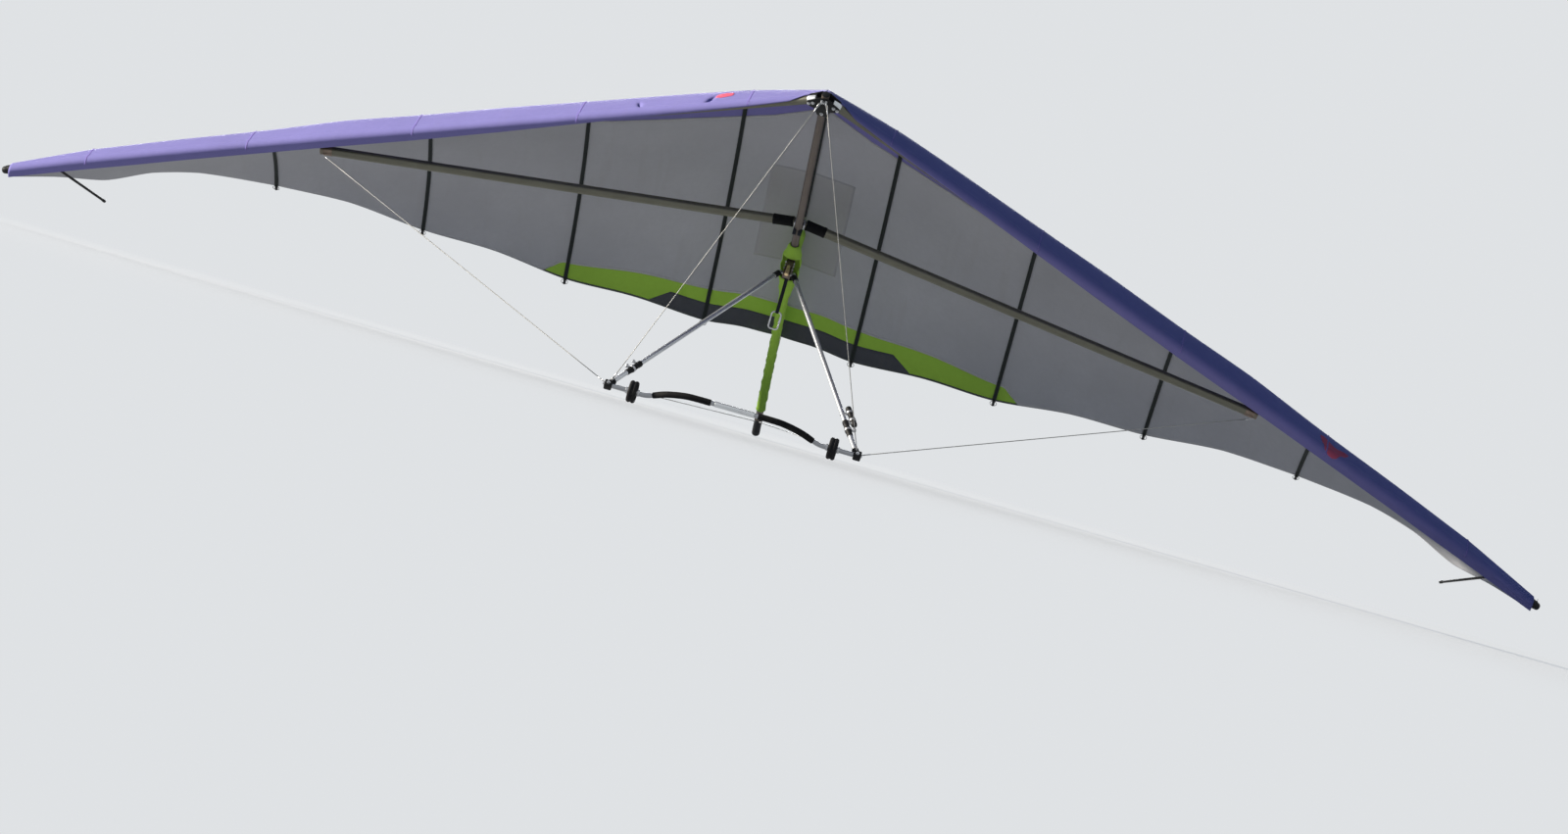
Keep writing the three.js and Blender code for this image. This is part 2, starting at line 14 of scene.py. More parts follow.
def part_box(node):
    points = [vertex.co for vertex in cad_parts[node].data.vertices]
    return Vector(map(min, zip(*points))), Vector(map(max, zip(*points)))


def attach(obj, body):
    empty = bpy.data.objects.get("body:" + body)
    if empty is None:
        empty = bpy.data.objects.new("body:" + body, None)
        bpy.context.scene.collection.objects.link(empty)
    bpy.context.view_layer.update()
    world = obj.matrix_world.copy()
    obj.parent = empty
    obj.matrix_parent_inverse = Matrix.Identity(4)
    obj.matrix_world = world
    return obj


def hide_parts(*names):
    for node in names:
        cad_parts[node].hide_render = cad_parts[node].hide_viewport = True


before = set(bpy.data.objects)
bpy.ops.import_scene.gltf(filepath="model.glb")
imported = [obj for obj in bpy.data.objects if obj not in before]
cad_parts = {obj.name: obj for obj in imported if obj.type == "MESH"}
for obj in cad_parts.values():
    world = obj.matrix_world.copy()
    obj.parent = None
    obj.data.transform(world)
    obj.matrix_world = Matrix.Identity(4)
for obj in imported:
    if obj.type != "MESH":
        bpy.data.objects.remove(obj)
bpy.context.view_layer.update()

MM = 0.001
SIDES = (("left", 1), ("right", -1))
X, Y, Z = Vector((1, 0, 0)), Vector((0, 1, 0)), Vector((0, 0, 1))


def add_object(name, data):
    made = bpy.data.objects.new(name, data)
    bpy.context.scene.collection.objects.link(made)
    return made


# the parked stance
WHEEL_AT = Vector((0.598, -0.350, -1.575))
WHEEL_R = 0.065
TAIL_END = 1.760
TAIL_CAP_R = 0.026
reach = TAIL_END - WHEEL_AT.y
drop = -WHEEL_AT.z - TAIL_CAP_R
PITCH = math.atan2(drop, reach) + math.asin(WHEEL_R / math.hypot(drop, reach))
TURN = Matrix.Rotation(-PITCH, 4, "X")
wheel_low, wheel_high = (Vector(v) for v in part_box("wheel_left"))
PARK = Matrix.Translation((wheel_low + wheel_high) / 2 - TURN @ WHEEL_AT) @ TURN

# camera: at floor level in front of the nose, rolled as the photograph is
CAMERA_AWAY = 26.0
CAMERA_HEIGHT = 0.12
CAMERA_SIDE = math.radians(3.4)
CAMERA_YAW = math.radians(-2.927)
CAMERA_TILT = math.radians(0.102)
CAMERA_ROLL = math.radians(15.93)
CAMERA_LENS = 98.84

camera_data = bpy.data.cameras.new("camera")
camera_data.lens = CAMERA_LENS
camera_data.sensor_width = 36
camera_data.clip_end = 200
camera = add_object("camera", camera_data)
bpy.context.scene.camera = camera
camera_at = (CAMERA_AWAY * math.sin(CAMERA_SIDE), -CAMERA_AWAY * math.cos(CAMERA_SIDE), CAMERA_HEIGHT)
camera.matrix_world = (
    Matrix.Translation(camera_at) @ Matrix.Rotation(-CAMERA_YAW, 4, "Z")
    @ Matrix.Rotation(math.pi / 2 + CAMERA_TILT, 4, "X") @ Matrix.Rotation(CAMERA_ROLL, 4, "Z")
)


# finishes
class Nodes:
    """Makes and links the nodes of one tree."""

    def __init__(self, tree):
        self.tree = tree

    def feed(self, socket, value):
        """Links a socket to another one, or gives it a plain value."""
        if isinstance(value, bpy.types.NodeSocket):
            self.tree.links.new(value, socket)
        else:
            socket.default_value = value

    def node(self, kind, inputs=None, **settings):
        made = self.tree.nodes.new("ShaderNode" + kind)
        for key, value in settings.items():
            setattr(made, key, value)
        for key, value in (inputs or {}).items():
            self.feed(made.inputs[key], value)
        return made

    def math(self, operation, *values):
        return self.node("Math", dict(enumerate(values)), operation=operation).outputs[0]

    def seen_directly(self):
        """1 where the camera or a reflection looks, 0 for the light that reaches the glider."""
        path = self.node("LightPath").outputs
        return self.math("MAXIMUM", path["Is Camera Ray"], path["Is Glossy Ray"])


class Finish(Nodes):
    """One procedural finish, built round a Principled shader."""

    def __init__(self, name, colour, roughness, metal=0.0, **settings):
        self.material = bpy.data.materials.new(name)
        self.material.use_nodes = True
        super().__init__(self.material.node_tree)
        self.shader = self.tree.nodes["Principled BSDF"]
        self.colour = (*colour, 1)
        self.material.diffuse_color = self.colour
        settings.update(Base_Color=self.colour, Roughness=roughness, Metallic=metal)
        for key, value in settings.items():
            self.shader.inputs[key.replace("_", " ")].default_value = value

    def tone(self, factor):
        return (*(min(1.0, c * factor) for c in self.colour[:3]), 1)

    def place(self, uv=None, scale=(1, 1, 1)):
        source = self.node("UVMap", uv_map=uv) if uv else self.node("TexCoord")
        inputs = {"Vector": source.outputs["UV" if uv else "Object"], "Scale": scale}
        return self.node("Mapping", inputs).outputs["Vector"]

    def split(self, place):
        parts = self.node("SeparateXYZ", {"Vector": place}).outputs
        return parts["X"], parts["Y"]

    def noise(self, place, size, detail, rough=0.55):
        inputs = {"Vector": place, "Scale": 1 / size, "Detail": detail, "Roughness": rough}
        return self.node("TexNoise", inputs).outputs["Fac"]

    def between(self, value, low, high, to_low=0.0, to_high=1.0):
        inputs = {"Value": value, "From Min": low, "From Max": high, "To Min": to_low, "To Max": to_high}
        return self.node("MapRange", inputs).outputs["Result"]

    def waves(self, value, pitch):
        return self.math("SINE", self.math("MULTIPLY", value, 2 * math.pi / pitch))

    def stripes(self, along, pitch, share):
        """1 on a share of each pitch, 0 elsewhere, with a short soft edge."""
        phase = self.math("FRACT", self.math("DIVIDE", along, pitch))
        centred = self.math("ABSOLUTE", self.math("SUBTRACT", phase, 0.5))
        return self.between(centred, share / 2 + 0.04, share / 2 - 0.04)

    def blend(self, factor, first, second):
        return self.node("Mix", {0: factor, 6: first, 7: second}, data_type="RGBA").outputs[2]

    def shades(self, pattern, first, second, low=0.3, high=0.7):
        """The finish's colour between two of its tones, by a pattern."""
        return self.blend(self.between(pattern, low, high), self.tone(first), self.tone(second))

    def paint(self, colour):
        self.feed(self.shader.inputs["Base Color"], colour)

    def rough(self, pattern, low, high):
        self.feed(self.shader.inputs["Roughness"], self.between(pattern, 0.3, 0.7, low, high))

    def relief(self, height, depth, strength):
        """Adds one layer of relief over those already there."""
        inputs = {"Height": height, "Distance": depth, "Strength": strength}
        socket = self.shader.inputs["Normal"]
        if socket.is_linked:
            inputs["Normal"] = socket.links[0].from_socket
        self.feed(socket, self.node("Bump", inputs).outputs["Normal"])


WEAVE, RIPSTOP, TAPE_WIDTH = 0.0011, 0.006, 0.018
SOIL = (0.30, 0.27, 0.22, 1)
DUST = (0.20, 0.19, 0.17, 1)


def sailcloth(name, colour, soil=0.5):
    """Woven polyester sailcloth: fine weave, a warp grid, soft mottling, soil streaks and creases."""
    finish = Finish(name, colour, 0.62, Sheen_Weight=0.04, Sheen_Roughness=0.5, Specular_IOR_Level=0.03)
    cloth = finish.place("cloth")
    across, along = finish.split(cloth)
    mottle = finish.noise(cloth, 0.55, 3)
    fine = finish.noise(cloth, 0.035, 5, 0.65)
    streak = finish.noise(finish.place("cloth", (9, 1.1, 1)), 0.9, 4)
    tint = finish.shades(mottle, 0.93, 1.05)
    tint = finish.blend(finish.between(fine, 0.35, 0.7, 0, 0.35), tint, finish.tone(0.88))
    tint = finish.blend(finish.between(streak, 0.56, 0.78, 0, 0.22 * soil), tint, SOIL)
    grid = finish.math("MAXIMUM", finish.stripes(across, RIPSTOP, 0.10), finish.stripes(along, RIPSTOP, 0.10))
    finish.paint(finish.blend(finish.math("MULTIPLY", grid, 0.10), tint, finish.tone(0.75)))
    finish.rough(fine, 0.55, 0.70)
    creases = finish.noise(finish.place("cloth", (1, 0.45, 1)), 0.16, 3, 0.5)
    pulls = finish.noise(finish.place("cloth", (0.35, 2.2, 1)), 0.30, 2, 0.4)
    finish.relief(finish.math("ADD", finish.waves(across, WEAVE), finish.waves(along, WEAVE)), 0.00006, 0.35)
    finish.relief(grid, 0.00012, 0.4)
    finish.relief(creases, 0.006, 0.30)
    finish.relief(pulls, 0.012, 0.22)
    return finish.material


def stitched(name, colour, thread, rows=(0.3, 0.7), width=TAPE_WIDTH):
    """Seam tape with rows of zigzag stitching: the map's u runs along the tape and v across it."""
    pitch = 0.004
    finish = Finish(name, colour, 0.7, Specular_IOR_Level=0.2)
    place = finish.place("tape")
    along, across = finish.split(place)
    swing = finish.between(finish.math("PINGPONG", along, pitch), 0, pitch, -0.0018, 0.0018)
    seams = []
    for row in rows:
        from_row = finish.math("SUBTRACT", finish.math("SUBTRACT", across, row * width), swing)
        seams.append(finish.between(finish.math("ABSOLUTE", from_row), 0.0009, 0.0004))
    thread_here = finish.math("MAXIMUM", *seams)
    tape_tint = finish.shades(finish.noise(place, 0.08, 3), 0.9, 1.06)
    finish.paint(finish.blend(thread_here, tape_tint, (*thread, 1)))
    finish.relief(thread_here, 0.0004, 0.8)
    finish.relief(finish.noise(place, 0.006, 2), 0.0003, 0.4)
    return finish.material


def anodised(name, colour, roughness, metal, wear=0.25):
    """Drawn aluminium tube: long draw marks, faint scuffs, brighter where it is rubbed."""
    finish = Finish(name, colour, roughness, metal)
    marks = finish.noise(finish.place("tube", (60, 1.2, 1)), 0.9, 4, 0.6)
    patches = finish.noise(finish.place("tube", (3, 1, 1)), 0.18, 4, 0.6)
    scuffs = finish.noise(finish.place("tube"), 0.012, 6, 0.75)
    rubbed = finish.between(scuffs, 0.62, 0.78, 0, wear)
    finish.paint(finish.blend(rubbed, finish.shades(patches, 0.86, 1.12), finish.tone(1.9)))
    finish.rough(marks, roughness * 0.82, roughness * 1.25)
    finish.relief(marks, 0.0002, 0.25)
    return finish.material


def steel(name, colour, roughness):
    """Small machined and pressed fittings: brushed, with tarnish in patches."""
    finish = Finish(name, colour, roughness, 0.9)
    brush = finish.noise(finish.place(None, (1, 14, 1)), 0.02, 4, 0.7)
    tarnish = finish.noise(finish.place(), 0.03, 4, 0.6)
    finish.paint(finish.shades(tarnish, 1.08, 0.68, 0.35, 0.75))
    finish.rough(brush, roughness * 0.75, roughness * 1.4)
    finish.relief(brush, 0.0002, 0.3)
    return finish.material


def dull_black(name, colour, roughness, grain, depth, dust):
    """Black plastic, foam or paint: a moulded grain under a little dust."""
    finish = Finish(name, colour, roughness, Specular_IOR_Level=0.16)
    place = finish.place()
    fine = finish.noise(place, grain, 5, 0.6)
    dusty = finish.between(finish.noise(place, 0.06, 3), 0.5, 0.85, 0, dust)
    finish.paint(finish.blend(dusty, finish.shades(fine, 0.8, 1.35), DUST))
    finish.rough(fine, roughness * 0.85, min(1.0, roughness * 1.15))
    finish.relief(fine, depth, 0.5)
    return finish.material


def webbing(name, colour):
    """Flat woven webbing: ribs across it and a slight fuzz."""
    rib = 0.0022
    finish = Finish(name, colour, 0.85, Specular_IOR_Level=0.2)
    place = finish.place("tube")
    across, along = finish.split(place)
    fuzz = finish.noise(place, 0.004, 4)
    finish.paint(finish.shades(fuzz, 0.75, 1.3))
    finish.relief(finish.math("MULTIPLY", finish.waves(along, rib), finish.waves(across, rib)), 0.0004, 0.8)
    finish.relief(fuzz, 0.0005, 0.4)
    return finish.material


def cable(name, colour):
    """Stainless cable: strands laid in a long twist, with painted shade darkening the grooves between them.
    """
    strand, lay = 0.0026 / 6, 0.011
    finish = Finish(name, colour, 0.48, 0.6)
    across, along = finish.split(finish.place("tube"))
    round_it = finish.math("MULTIPLY", across, 1 / strand)
    twist = finish.math("ADD", round_it, finish.math("MULTIPLY", along, 2 * math.pi / lay))
    strands = finish.math("SINE", twist)
    # painted shade: the colour is darkened in the grooves between the strands
    finish.paint(finish.blend(finish.between(strands, -1, -0.2, 0.35, 0), finish.colour, finish.tone(0.35)))
    finish.relief(strands, 0.0005, 0.4)
    return finish.material


# each look: its finish and the name of a frame slot
LOOKS = {
    "white_cloth": (sailcloth("white_sailcloth", (0.56, 0.565, 0.60)), "white_cloth"),
    "violet_cloth": (sailcloth("violet_sailcloth", (0.250, 0.232, 0.555), 0.25), "violet_cloth"),
    "lime_cloth": (sailcloth("lime_sailcloth", (0.45, 0.76, 0.100), 0.35), "lime_cloth"),
    "slate_cloth": (sailcloth("slate_sailcloth", (0.105, 0.110, 0.125), 0.6), "white_cloth"),
    # the patch cloth is the white cloth made darker: painted shade for the doubled cloth, which lets less
    # light through
    "patch_cloth": (sailcloth("wear_patch_painted_shade_sailcloth", (0.495, 0.495, 0.505), 0.7), "white_cloth"),
    "red_cloth": (sailcloth("red_sailcloth", (0.74, 0.13, 0.22), 0.2), "violet_cloth"),
    "white_tape": (stitched("white_seam_tape", (0.52, 0.52, 0.54), (0.80, 0.80, 0.80)), "white_cloth"),
    "violet_tape": (stitched("violet_seam_tape", (0.23, 0.18, 0.55), (0.50, 0.46, 0.80)), "violet_cloth"),
    "dark_tape": (stitched("dark_hem_tape", (0.07, 0.08, 0.08), (0.30, 0.30, 0.30)), "white_cloth"),
    "batten_black": (
        stitched("black_batten_pocket", (0.012, 0.017, 0.016), (0.07, 0.08, 0.08), (0.1, 0.9), 0.026),
        "batten_black",
    ),
    "olive_tube": (anodised("olive_anodised_tube", (0.145, 0.142, 0.108), 0.42, 0.55), "olive_tube"),
    "keel_metal": (anodised("brown_anodised_tube", (0.140, 0.116, 0.100), 0.45, 0.50, 0.4), "keel_metal"),
    "silver_tube": (anodised("bright_drawn_tube", (0.62, 0.64, 0.66), 0.26, 0.75, 0.1), "silver_tube"),
    # the bright drawn finish in a darker copy: a painted dark reflection on the polished base bar
    "silver_tube_painted_dark": (anodised("drawn_tube_painted_dark_reflection", (0.36, 0.37, 0.39), 0.30, 0.70, 0.15), "silver_tube"),
    "fitting_steel": (steel("brushed_fitting_steel", (0.52, 0.53, 0.55), 0.34), "fitting_steel"),
    # a polished fitting tinted warm gold: a painted highlight of warm light on it
    "warm_highlight_fitting": (steel("steel_painted_warm_highlight", (0.80, 0.60, 0.34), 0.30), "fitting_steel"),
    "brown_fitting": (steel("brown_anodised_fitting", (0.20, 0.155, 0.125), 0.40), "fitting_steel"),
    "fitting_black": (
        dull_black("satin_black_fitting", (0.012, 0.0125, 0.014), 0.50, 0.004, 0.0002, 0.08), "fitting_black",
    ),
    "sleeve_black": (
        dull_black("black_padded_sleeve", (0.008, 0.0085, 0.009), 0.97, 0.0018, 0.0008, 0.04),
        "fitting_black",
    ),
    "grip_foam": (
        dull_black("black_grip_foam", (0.011, 0.011, 0.012), 0.92, 0.0025, 0.0008, 0.12), "grip_foam",
    ),
    "wheel_plastic": (
        dull_black("black_wheel_plastic", (0.013, 0.013, 0.014), 0.6, 0.003, 0.0003, 0.25), "wheel_plastic",
    ),
    "strap_webbing": (webbing("grey_black_webbing", (0.030, 0.033, 0.040)), "strap_webbing"),
    "rigging_wire": (cable("stranded_rigging_wire", (0.34, 0.34, 0.33)), "rigging_wire"),
}


# making pieces
def add_mesh(name, bm, material):
    """Turns a finished bmesh into an object of one material."""
    mesh = bpy.data.meshes.new(name)
    bm.to_mesh(mesh)
    bm.free()
    mesh.materials.append(material)
    return add_object(name, mesh)


def piece(name, bm, look, stands_for=None, body="glider", smooth=40, thick=0.0):
    """Parks what the bmesh holds and lets it ride on a body; a thick one is cloth."""
    bmesh.ops.transform(bm, matrix=PARK, verts=bm.verts)
    material, usual_slot = LOOKS[look]
    made = add_mesh(name, bm, material)
    made.data.shade_smooth()
    if smooth < 180:
        made.data.set_sharp_from_angle(angle=math.radians(smooth))
    if thick:
        solidify = made.modifiers.new("Solidify", "SOLIDIFY")
        solidify.thickness = thick
        solidify.offset = 0
    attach(made, body)
    if stands_for:
        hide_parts(stands_for)
    return made


def lerp(a, b, t):
    return a + (b - a) * t


def evenly(a, b, steps):
    """Places or values in equal steps from one to another."""
    return [lerp(a, b, i / steps) for i in range(steps + 1)]


def mirrored(point, side):
    return Vector((point[0] * side, point[1], point[2]))


def round_turn(count):
    """Equal angles round a full turn."""
    return [2 * math.pi * i / count for i in range(count)]


def oval(middle, first, second):
    """A closed line round a middle, from one half axis over to the other."""
    return [middle + first * math.cos(a) + second * math.sin(a) for a in round_turn(24)]


def turn_to(z, lean):
    """A turn whose Z runs along one direction and whose X leans to another."""
    x = (lean - z * lean.dot(z)).normalized()
    return Matrix((x, z.cross(x), z)).transposed().to_4x4()


def aim(at, along, across=X):
    """A matrix at a place whose Z runs along a direction and whose X leans across it."""
    z = Vector(along).normalized()
    lean = Y if abs(z.dot(across.normalized())) > 0.98 else across
    return Matrix.Translation(Vector(at)) @ turn_to(z, lean)


def turn_share(co):
    """How far round the Z axis a place is, as a share of a full turn."""
    return (math.atan2(co.y, co.x) / (2 * math.pi)) % 1.0


def edges_of(verts):
    """The edges at some vertices, each once, in the order in which they are found."""
    return list(dict.fromkeys(e for v in verts for e in v.link_edges))


def faces_of(verts):
    return list(dict.fromkeys(f for v in verts for f in v.link_faces))


def write_tube_map(bm, places, girth):
    """Writes the tube map from each vertex's (length along, share of a turn): u runs round and v along."""
    layer = bm.loops.layers.uv.get("tube") or bm.loops.layers.uv.new("tube")
    for face in bm.faces:
        if not all(v in places for v in face.verts):
            continue
        turns = [places[v][1] for v in face.verts]
        wraps = max(turns) - min(turns) > 0.5
        for loop in face.loops:
            along, turn = places[loop.vert]
            loop[layer].uv = ((turn + (1 if wraps and turn < 0.5 else 0)) * girth, along)


def write_flat_map(bm, name, places):
    """Writes a cloth or tape map from each vertex's (u, v), both in metres."""
    layer = bm.loops.layers.uv.get(name) or bm.loops.layers.uv.new(name)
    for face in faces_of(places):
        for loop in face.loops:
            loop[layer].uv = places[loop.vert]


def sweep(bm, points, radius, sides, flat=1.0, across=None, closed=False):
    """Sweeps a circle, or an ellipse flattened by flat, along points; radius may be a list."""
    points = [Vector(p) for p in points]
    count = len(points)
    radii = radius if isinstance(radius, list) else [radius] * count
    lean = across
    frames = []
    for i, point in enumerate(points):
        runs = Vector((0, 0, 0))
        if i or closed:
            runs += (point - points[i - 1]).normalized()
        if i + 1 < count or closed:
            runs += (points[(i + 1) % count] - point).normalized()
        direction = runs.normalized()
        if lean is None:
            lean = Z if abs(direction.z) < 0.9 else X
        turn = turn_to(direction, lean)
        if across is None:
            lean = turn.col[0].to_3d()
        size = Matrix.Diagonal((radii[i], radii[i] * flat, radii[i], 1))
        frames.append(Matrix.Translation(point) @ turn @ size)
    ring = bmesh.ops.create_circle(
        bm, cap_ends=not closed, radius=1, segments=sides, matrix=frames[0],
    )["verts"]
    edges = first_edges = edges_of(ring)
    places = {}
    along = 0.0
    for i in range(count):
        if i:
            grown = bmesh.ops.extrude_edge_only(bm, edges=edges)["geom"]
            ring = [g for g in grown if isinstance(g, bmesh.types.BMVert)]
            new = set(ring)
            edges = [g for g in grown if isinstance(g, bmesh.types.BMEdge) and new.issuperset(g.verts)]
            bmesh.ops.transform(bm, matrix=frames[i] @ frames[i - 1].inverted(), verts=ring)
            along += (points[i] - points[i - 1]).length
        back = frames[i].inverted()
        places.update({v: (along, turn_share(back @ v.co)) for v in ring})
    if closed:
        bmesh.ops.bridge_loops(bm, edges=edges + first_edges)
    else:
        bmesh.ops.contextual_create(bm, geom=edges)
    bmesh.ops.recalc_face_normals(bm, faces=[f for f in bm.faces if all(v in places for v in f.verts)])
    write_tube_map(bm, places, 2 * math.pi * max(radii))
    return places


def connected(seeds):
    """Every vertex that edges join to the given ones."""
    found = dict.fromkeys(seeds)
    todo = list(seeds)
    while todo:
        for edge in todo.pop().link_edges:
            for v in edge.verts:
                if v not in found:
                    found[v] = None
                    todo.append(v)
    return list(found)


def lathe(bm, outline, matrix, steps=32):
    """Turns an outline of (radius, height) pairs round the matrix's Z axis; off the axis it makes a ring."""
    seeds = [bm.verts.new((r, 0, h)) for r, h in outline]
    pairs = list(zip(seeds, seeds[1:]))
    if outline[0][0] > 0:
        pairs.append((seeds[-1], seeds[0]))
    edges = [bm.edges.new(pair) for pair in pairs]
    bmesh.ops.spin(
        bm, geom=seeds + edges, cent=(0, 0, 0), axis=Z, angle=2 * math.pi, steps=steps, use_merge=True,
    )
    bmesh.ops.remove_doubles(bm, verts=connected(seeds), dist=1e-6)
    verts = connected([v for v in seeds if v.is_valid])
    bmesh.ops.recalc_face_normals(bm, faces=faces_of(verts))
    places = {v: (v.co.z + v.co.xy.length, turn_share(v.co)) for v in verts}
    write_tube_map(bm, places, 2 * math.pi * max(r for r, _ in outline))
    bmesh.ops.transform(bm, matrix=matrix, verts=verts)


def ease_edges(bm, edges, width, segments=2):
    """Rounds edges and gives back the vertices of the body they are on."""
    cut = bmesh.ops.bevel(
        bm, geom=edges, offset=width, offset_type="OFFSET", segments=segments, profile=0.5,
        affect="EDGES", clamp_overlap=True, material=-1,
    )
    return connected(cut["verts"])


def block(bm, size, matrix, ease, segments=2):
    """A box with rounded edges."""
    verts = bmesh.ops.create_cube(bm, size=1, matrix=Matrix.Diagonal((*size, 1)))["verts"]
    verts = ease_edges(bm, edges_of(verts), ease, segments)
    bmesh.ops.transform(bm, matrix=matrix, verts=verts)


def plate(bm, outline, thickness, matrix):
    """A flat plate from an outline of (x, y) pairs, with eased edges."""
    face = bm.faces.new([bm.verts.new((x, y, -thickness / 2)) for x, y in outline])
    raised = bmesh.ops.extrude_face_region(bm, geom=[face])["geom"]
    top = [g for g in raised if isinstance(g, bmesh.types.BMVert)]
    bmesh.ops.translate(bm, vec=(0, 0, thickness), verts=top)
    verts = connected(top)
    bmesh.ops.recalc_face_normals(bm, faces=faces_of(verts))
    rims = [e for e in edges_of(verts) if e.calc_face_angle(0) > 1.2]
    bmesh.ops.transform(bm, matrix=matrix, verts=ease_edges(bm, rims, 0.0008))


# lays a plate's outline along Y and up Z, so that the plate faces sideways
CROSSWISE = Matrix(((0, 0, 1, 0), (1, 0, 0, 0), (0, 1, 0, 0), (0, 0, 0, 1)))
WASHER = 0.0012


def bolt(bm, at, along, grip, head=0.0065):
    """A through bolt: washer and hex head at one end, washer and taller nut at the other."""
    for sign, height in ((1, 0.0045), (-1, 0.007)):
        face = aim(Vector(at) + along * sign * grip / 2, along * sign)
        lathe(bm, [(0, 0), (head * 1.45, 0), (head * 1.45, WASHER), (0, WASHER)], face, 16)
        bmesh.ops.create_cone(
            bm, cap_ends=True, segments=6, radius1=head, radius2=head * 0.92, depth=height,
            matrix=face @ Matrix.Translation((0, 0, WASHER + height / 2)),
        )


def mm(*pairs):
    """An outline whose pairs are given in millimetres."""
    return [(a * MM, b * MM) for a, b in pairs]


def both_ways(half):
    """A whole outline from its half on one side of the middle."""
    return [(r, -h) for r, h in half] + [(r, h) for r, h in reversed(half)]


def sleeve(inner, outer, half, ease=0.001):
    return both_ways([(inner, half), (outer - ease, half), (outer, half - ease)])


def tube_piece(name, look, stands_for, points, radius, sides=32, side=1):
    bm = bmesh.new()
    sweep(bm, [mirrored(p, side) for p in points], radius, sides)
    piece(name, bm, look, stands_for, smooth=50)


def ring_piece(name, look, rings, stands_for=None, steps=32, side=1):
    """Turned pieces, for one side of the glider: each ring is (centre, direction, outline)."""
    bm = bmesh.new()
    for at, along, outline in rings:
        lathe(bm, outline, aim(mirrored(at, side), mirrored(along, side)), steps)
    piece(name, bm, look, stands_for, smooth=35)


# main places and radii of the airframe
NOSE_Y, TAIL_Y = -1.500, 1.700
KEEL_R, LEAD_R, CROSS_R, UPRIGHT_R, BASE_R, KING_R = 0.023, 0.025, 0.029, 0.0145, 0.014, 0.015
LEAD_NOSE_Y, LEAD_RAKE = -1.466, 0.522
CORNER = Vector((0.745, -0.350, -1.575))
UPRIGHT_TOP = Vector((0.044, 0, -0.126))
CROSS_CENTRE = Vector((0, -0.280, 0.056))
CROSS_TIP = Vector((2.950, 0.172, -0.042))
KING_Y, KING_TOP = 0.020, 1.225
KING_HEAD = Vector((0, KING_Y, KING_TOP + 0.0204))
TOP_SIDE_WIRE_END = Vector((2.956, 0.132, -0.008))

# the sail's sections, one row for each place out along the wing, in millimetres
SECTION_COLUMNS = ("x", "lead_z", "tail_y", "tail_z", "camber")
SECTIONS = [dict(zip(SECTION_COLUMNS, (v * MM for v in row))) for row in (
    (0.4, 0, 870, 102, 190),
    (160, 0, 915, 118, 215),
    (480, -3, 1010, 170, 258),
    (940, -8, 1042, 208, 250),
    (1400, -14, 1108, 262, 234),
    (1880, -20, 1096, 300, 204),
    (2360, -28, 1130, 347, 172),
    (2860, -36, 1130, 384, 140),
    (3350, -48, 1192, 418, 92),
    (3850, -62, 1270, 400, 64),
    (4160, -74, 1350, 362, 54),
    (4450, -86, 1470, 300, 52),
    (4700, -100, 1330, 110, 32),
    (4930, -114, 1235, -60, 15),
)]
TIP_X = SECTIONS[-1]["x"]
SMOOTHING = 0.6
POCKET_R = 0.034
ARC_TURN = math.radians(148)
ARC_LENGTH = POCKET_R * ARC_TURN
CAMBER_AT = 0.28
CROWN = 5.6
# the sewn-in stiffener of the leading edge stands the cloth up this much more, out along the wing
STIFFENER = (
    (1.0, 0.0), (2.0, 0.018), (2.86, 0.034), (3.35, 0.036), (3.85, 0.032), (4.43, 0.032), (TIP_X, 0.006),
)
TOP_STEPS = 90
BATTENS = (0.480, 1.400, 2.360, 3.350)
BILLOW = 0.012
BILLOW_OUT = 4.45
SCALLOP = 0.016


def lead_y(x):
    return LEAD_NOSE_Y + LEAD_RAKE * x


def hermite(a, b, pull_a, pull_b, t):
    """A smooth value or place between two, with a pull at each end."""
    return (
        a * (2 * t ** 3 - 3 * t * t + 1) + pull_a * (t ** 3 - 2 * t * t + t)
        + b * (3 * t * t - 2 * t ** 3) + pull_b * (t ** 3 - t * t)
    )


def section_at(x):
    """The section's numbers at a place out along the wing, smooth between the rows."""
    i = next((k for k in range(1, len(SECTIONS)) if SECTIONS[k]["x"] >= x), len(SECTIONS) - 1)
    a, b = SECTIONS[i - 1], SECTIONS[i]
    before = SECTIONS[max(0, i - 2)]
    after = SECTIONS[min(len(SECTIONS) - 1, i + 1)]
    width = b["x"] - a["x"]
    t = max(0.0, min(1.0, (x - a["x"]) / width))
    out = {"x": x}
    for key in SECTION_COLUMNS[1:]:
        pull_a = width * (b[key] - before[key]) / (b["x"] - before["x"])
        pull_b = width * (after[key] - a[key]) / (after["x"] - a["x"])
        out[key] = lerp(lerp(a[key], b[key], t), hermite(a[key], b[key], pull_a, pull_b, t), SMOOTHING)
    return out


def lead_at(x):
    return Vector((x, lead_y(x), section_at(x)["lead_z"]))


def camber_shape(s):
    p = CAMBER_AT
    return 1 - (1 - s / p) ** CROWN if s < p else (1 - 2 * p + 2 * p * s - s * s) / ((1 - p) ** 2)


def billow_at(x):
    """How far the cloth lifts between two battens, 0 at each batten and 1 midway."""
    stops = (0.0, *BATTENS, BILLOW_OUT)
    for a, b in zip(stops, stops[1:]):
        if a <= x <= b:
            return math.sin(math.pi * (x - a) / (b - a)) ** 2
    return 0.0


def by_stops(stops, x):
    """A value that runs straight between (x, value) stops."""
    for (xa, a), (xb, b) in zip(stops, stops[1:]):
        if x <= xb:
            return lerp(a, b, max(0.0, min(1.0, (x - xa) / (xb - xa))))
    return stops[-1][1]


section_lines = {}


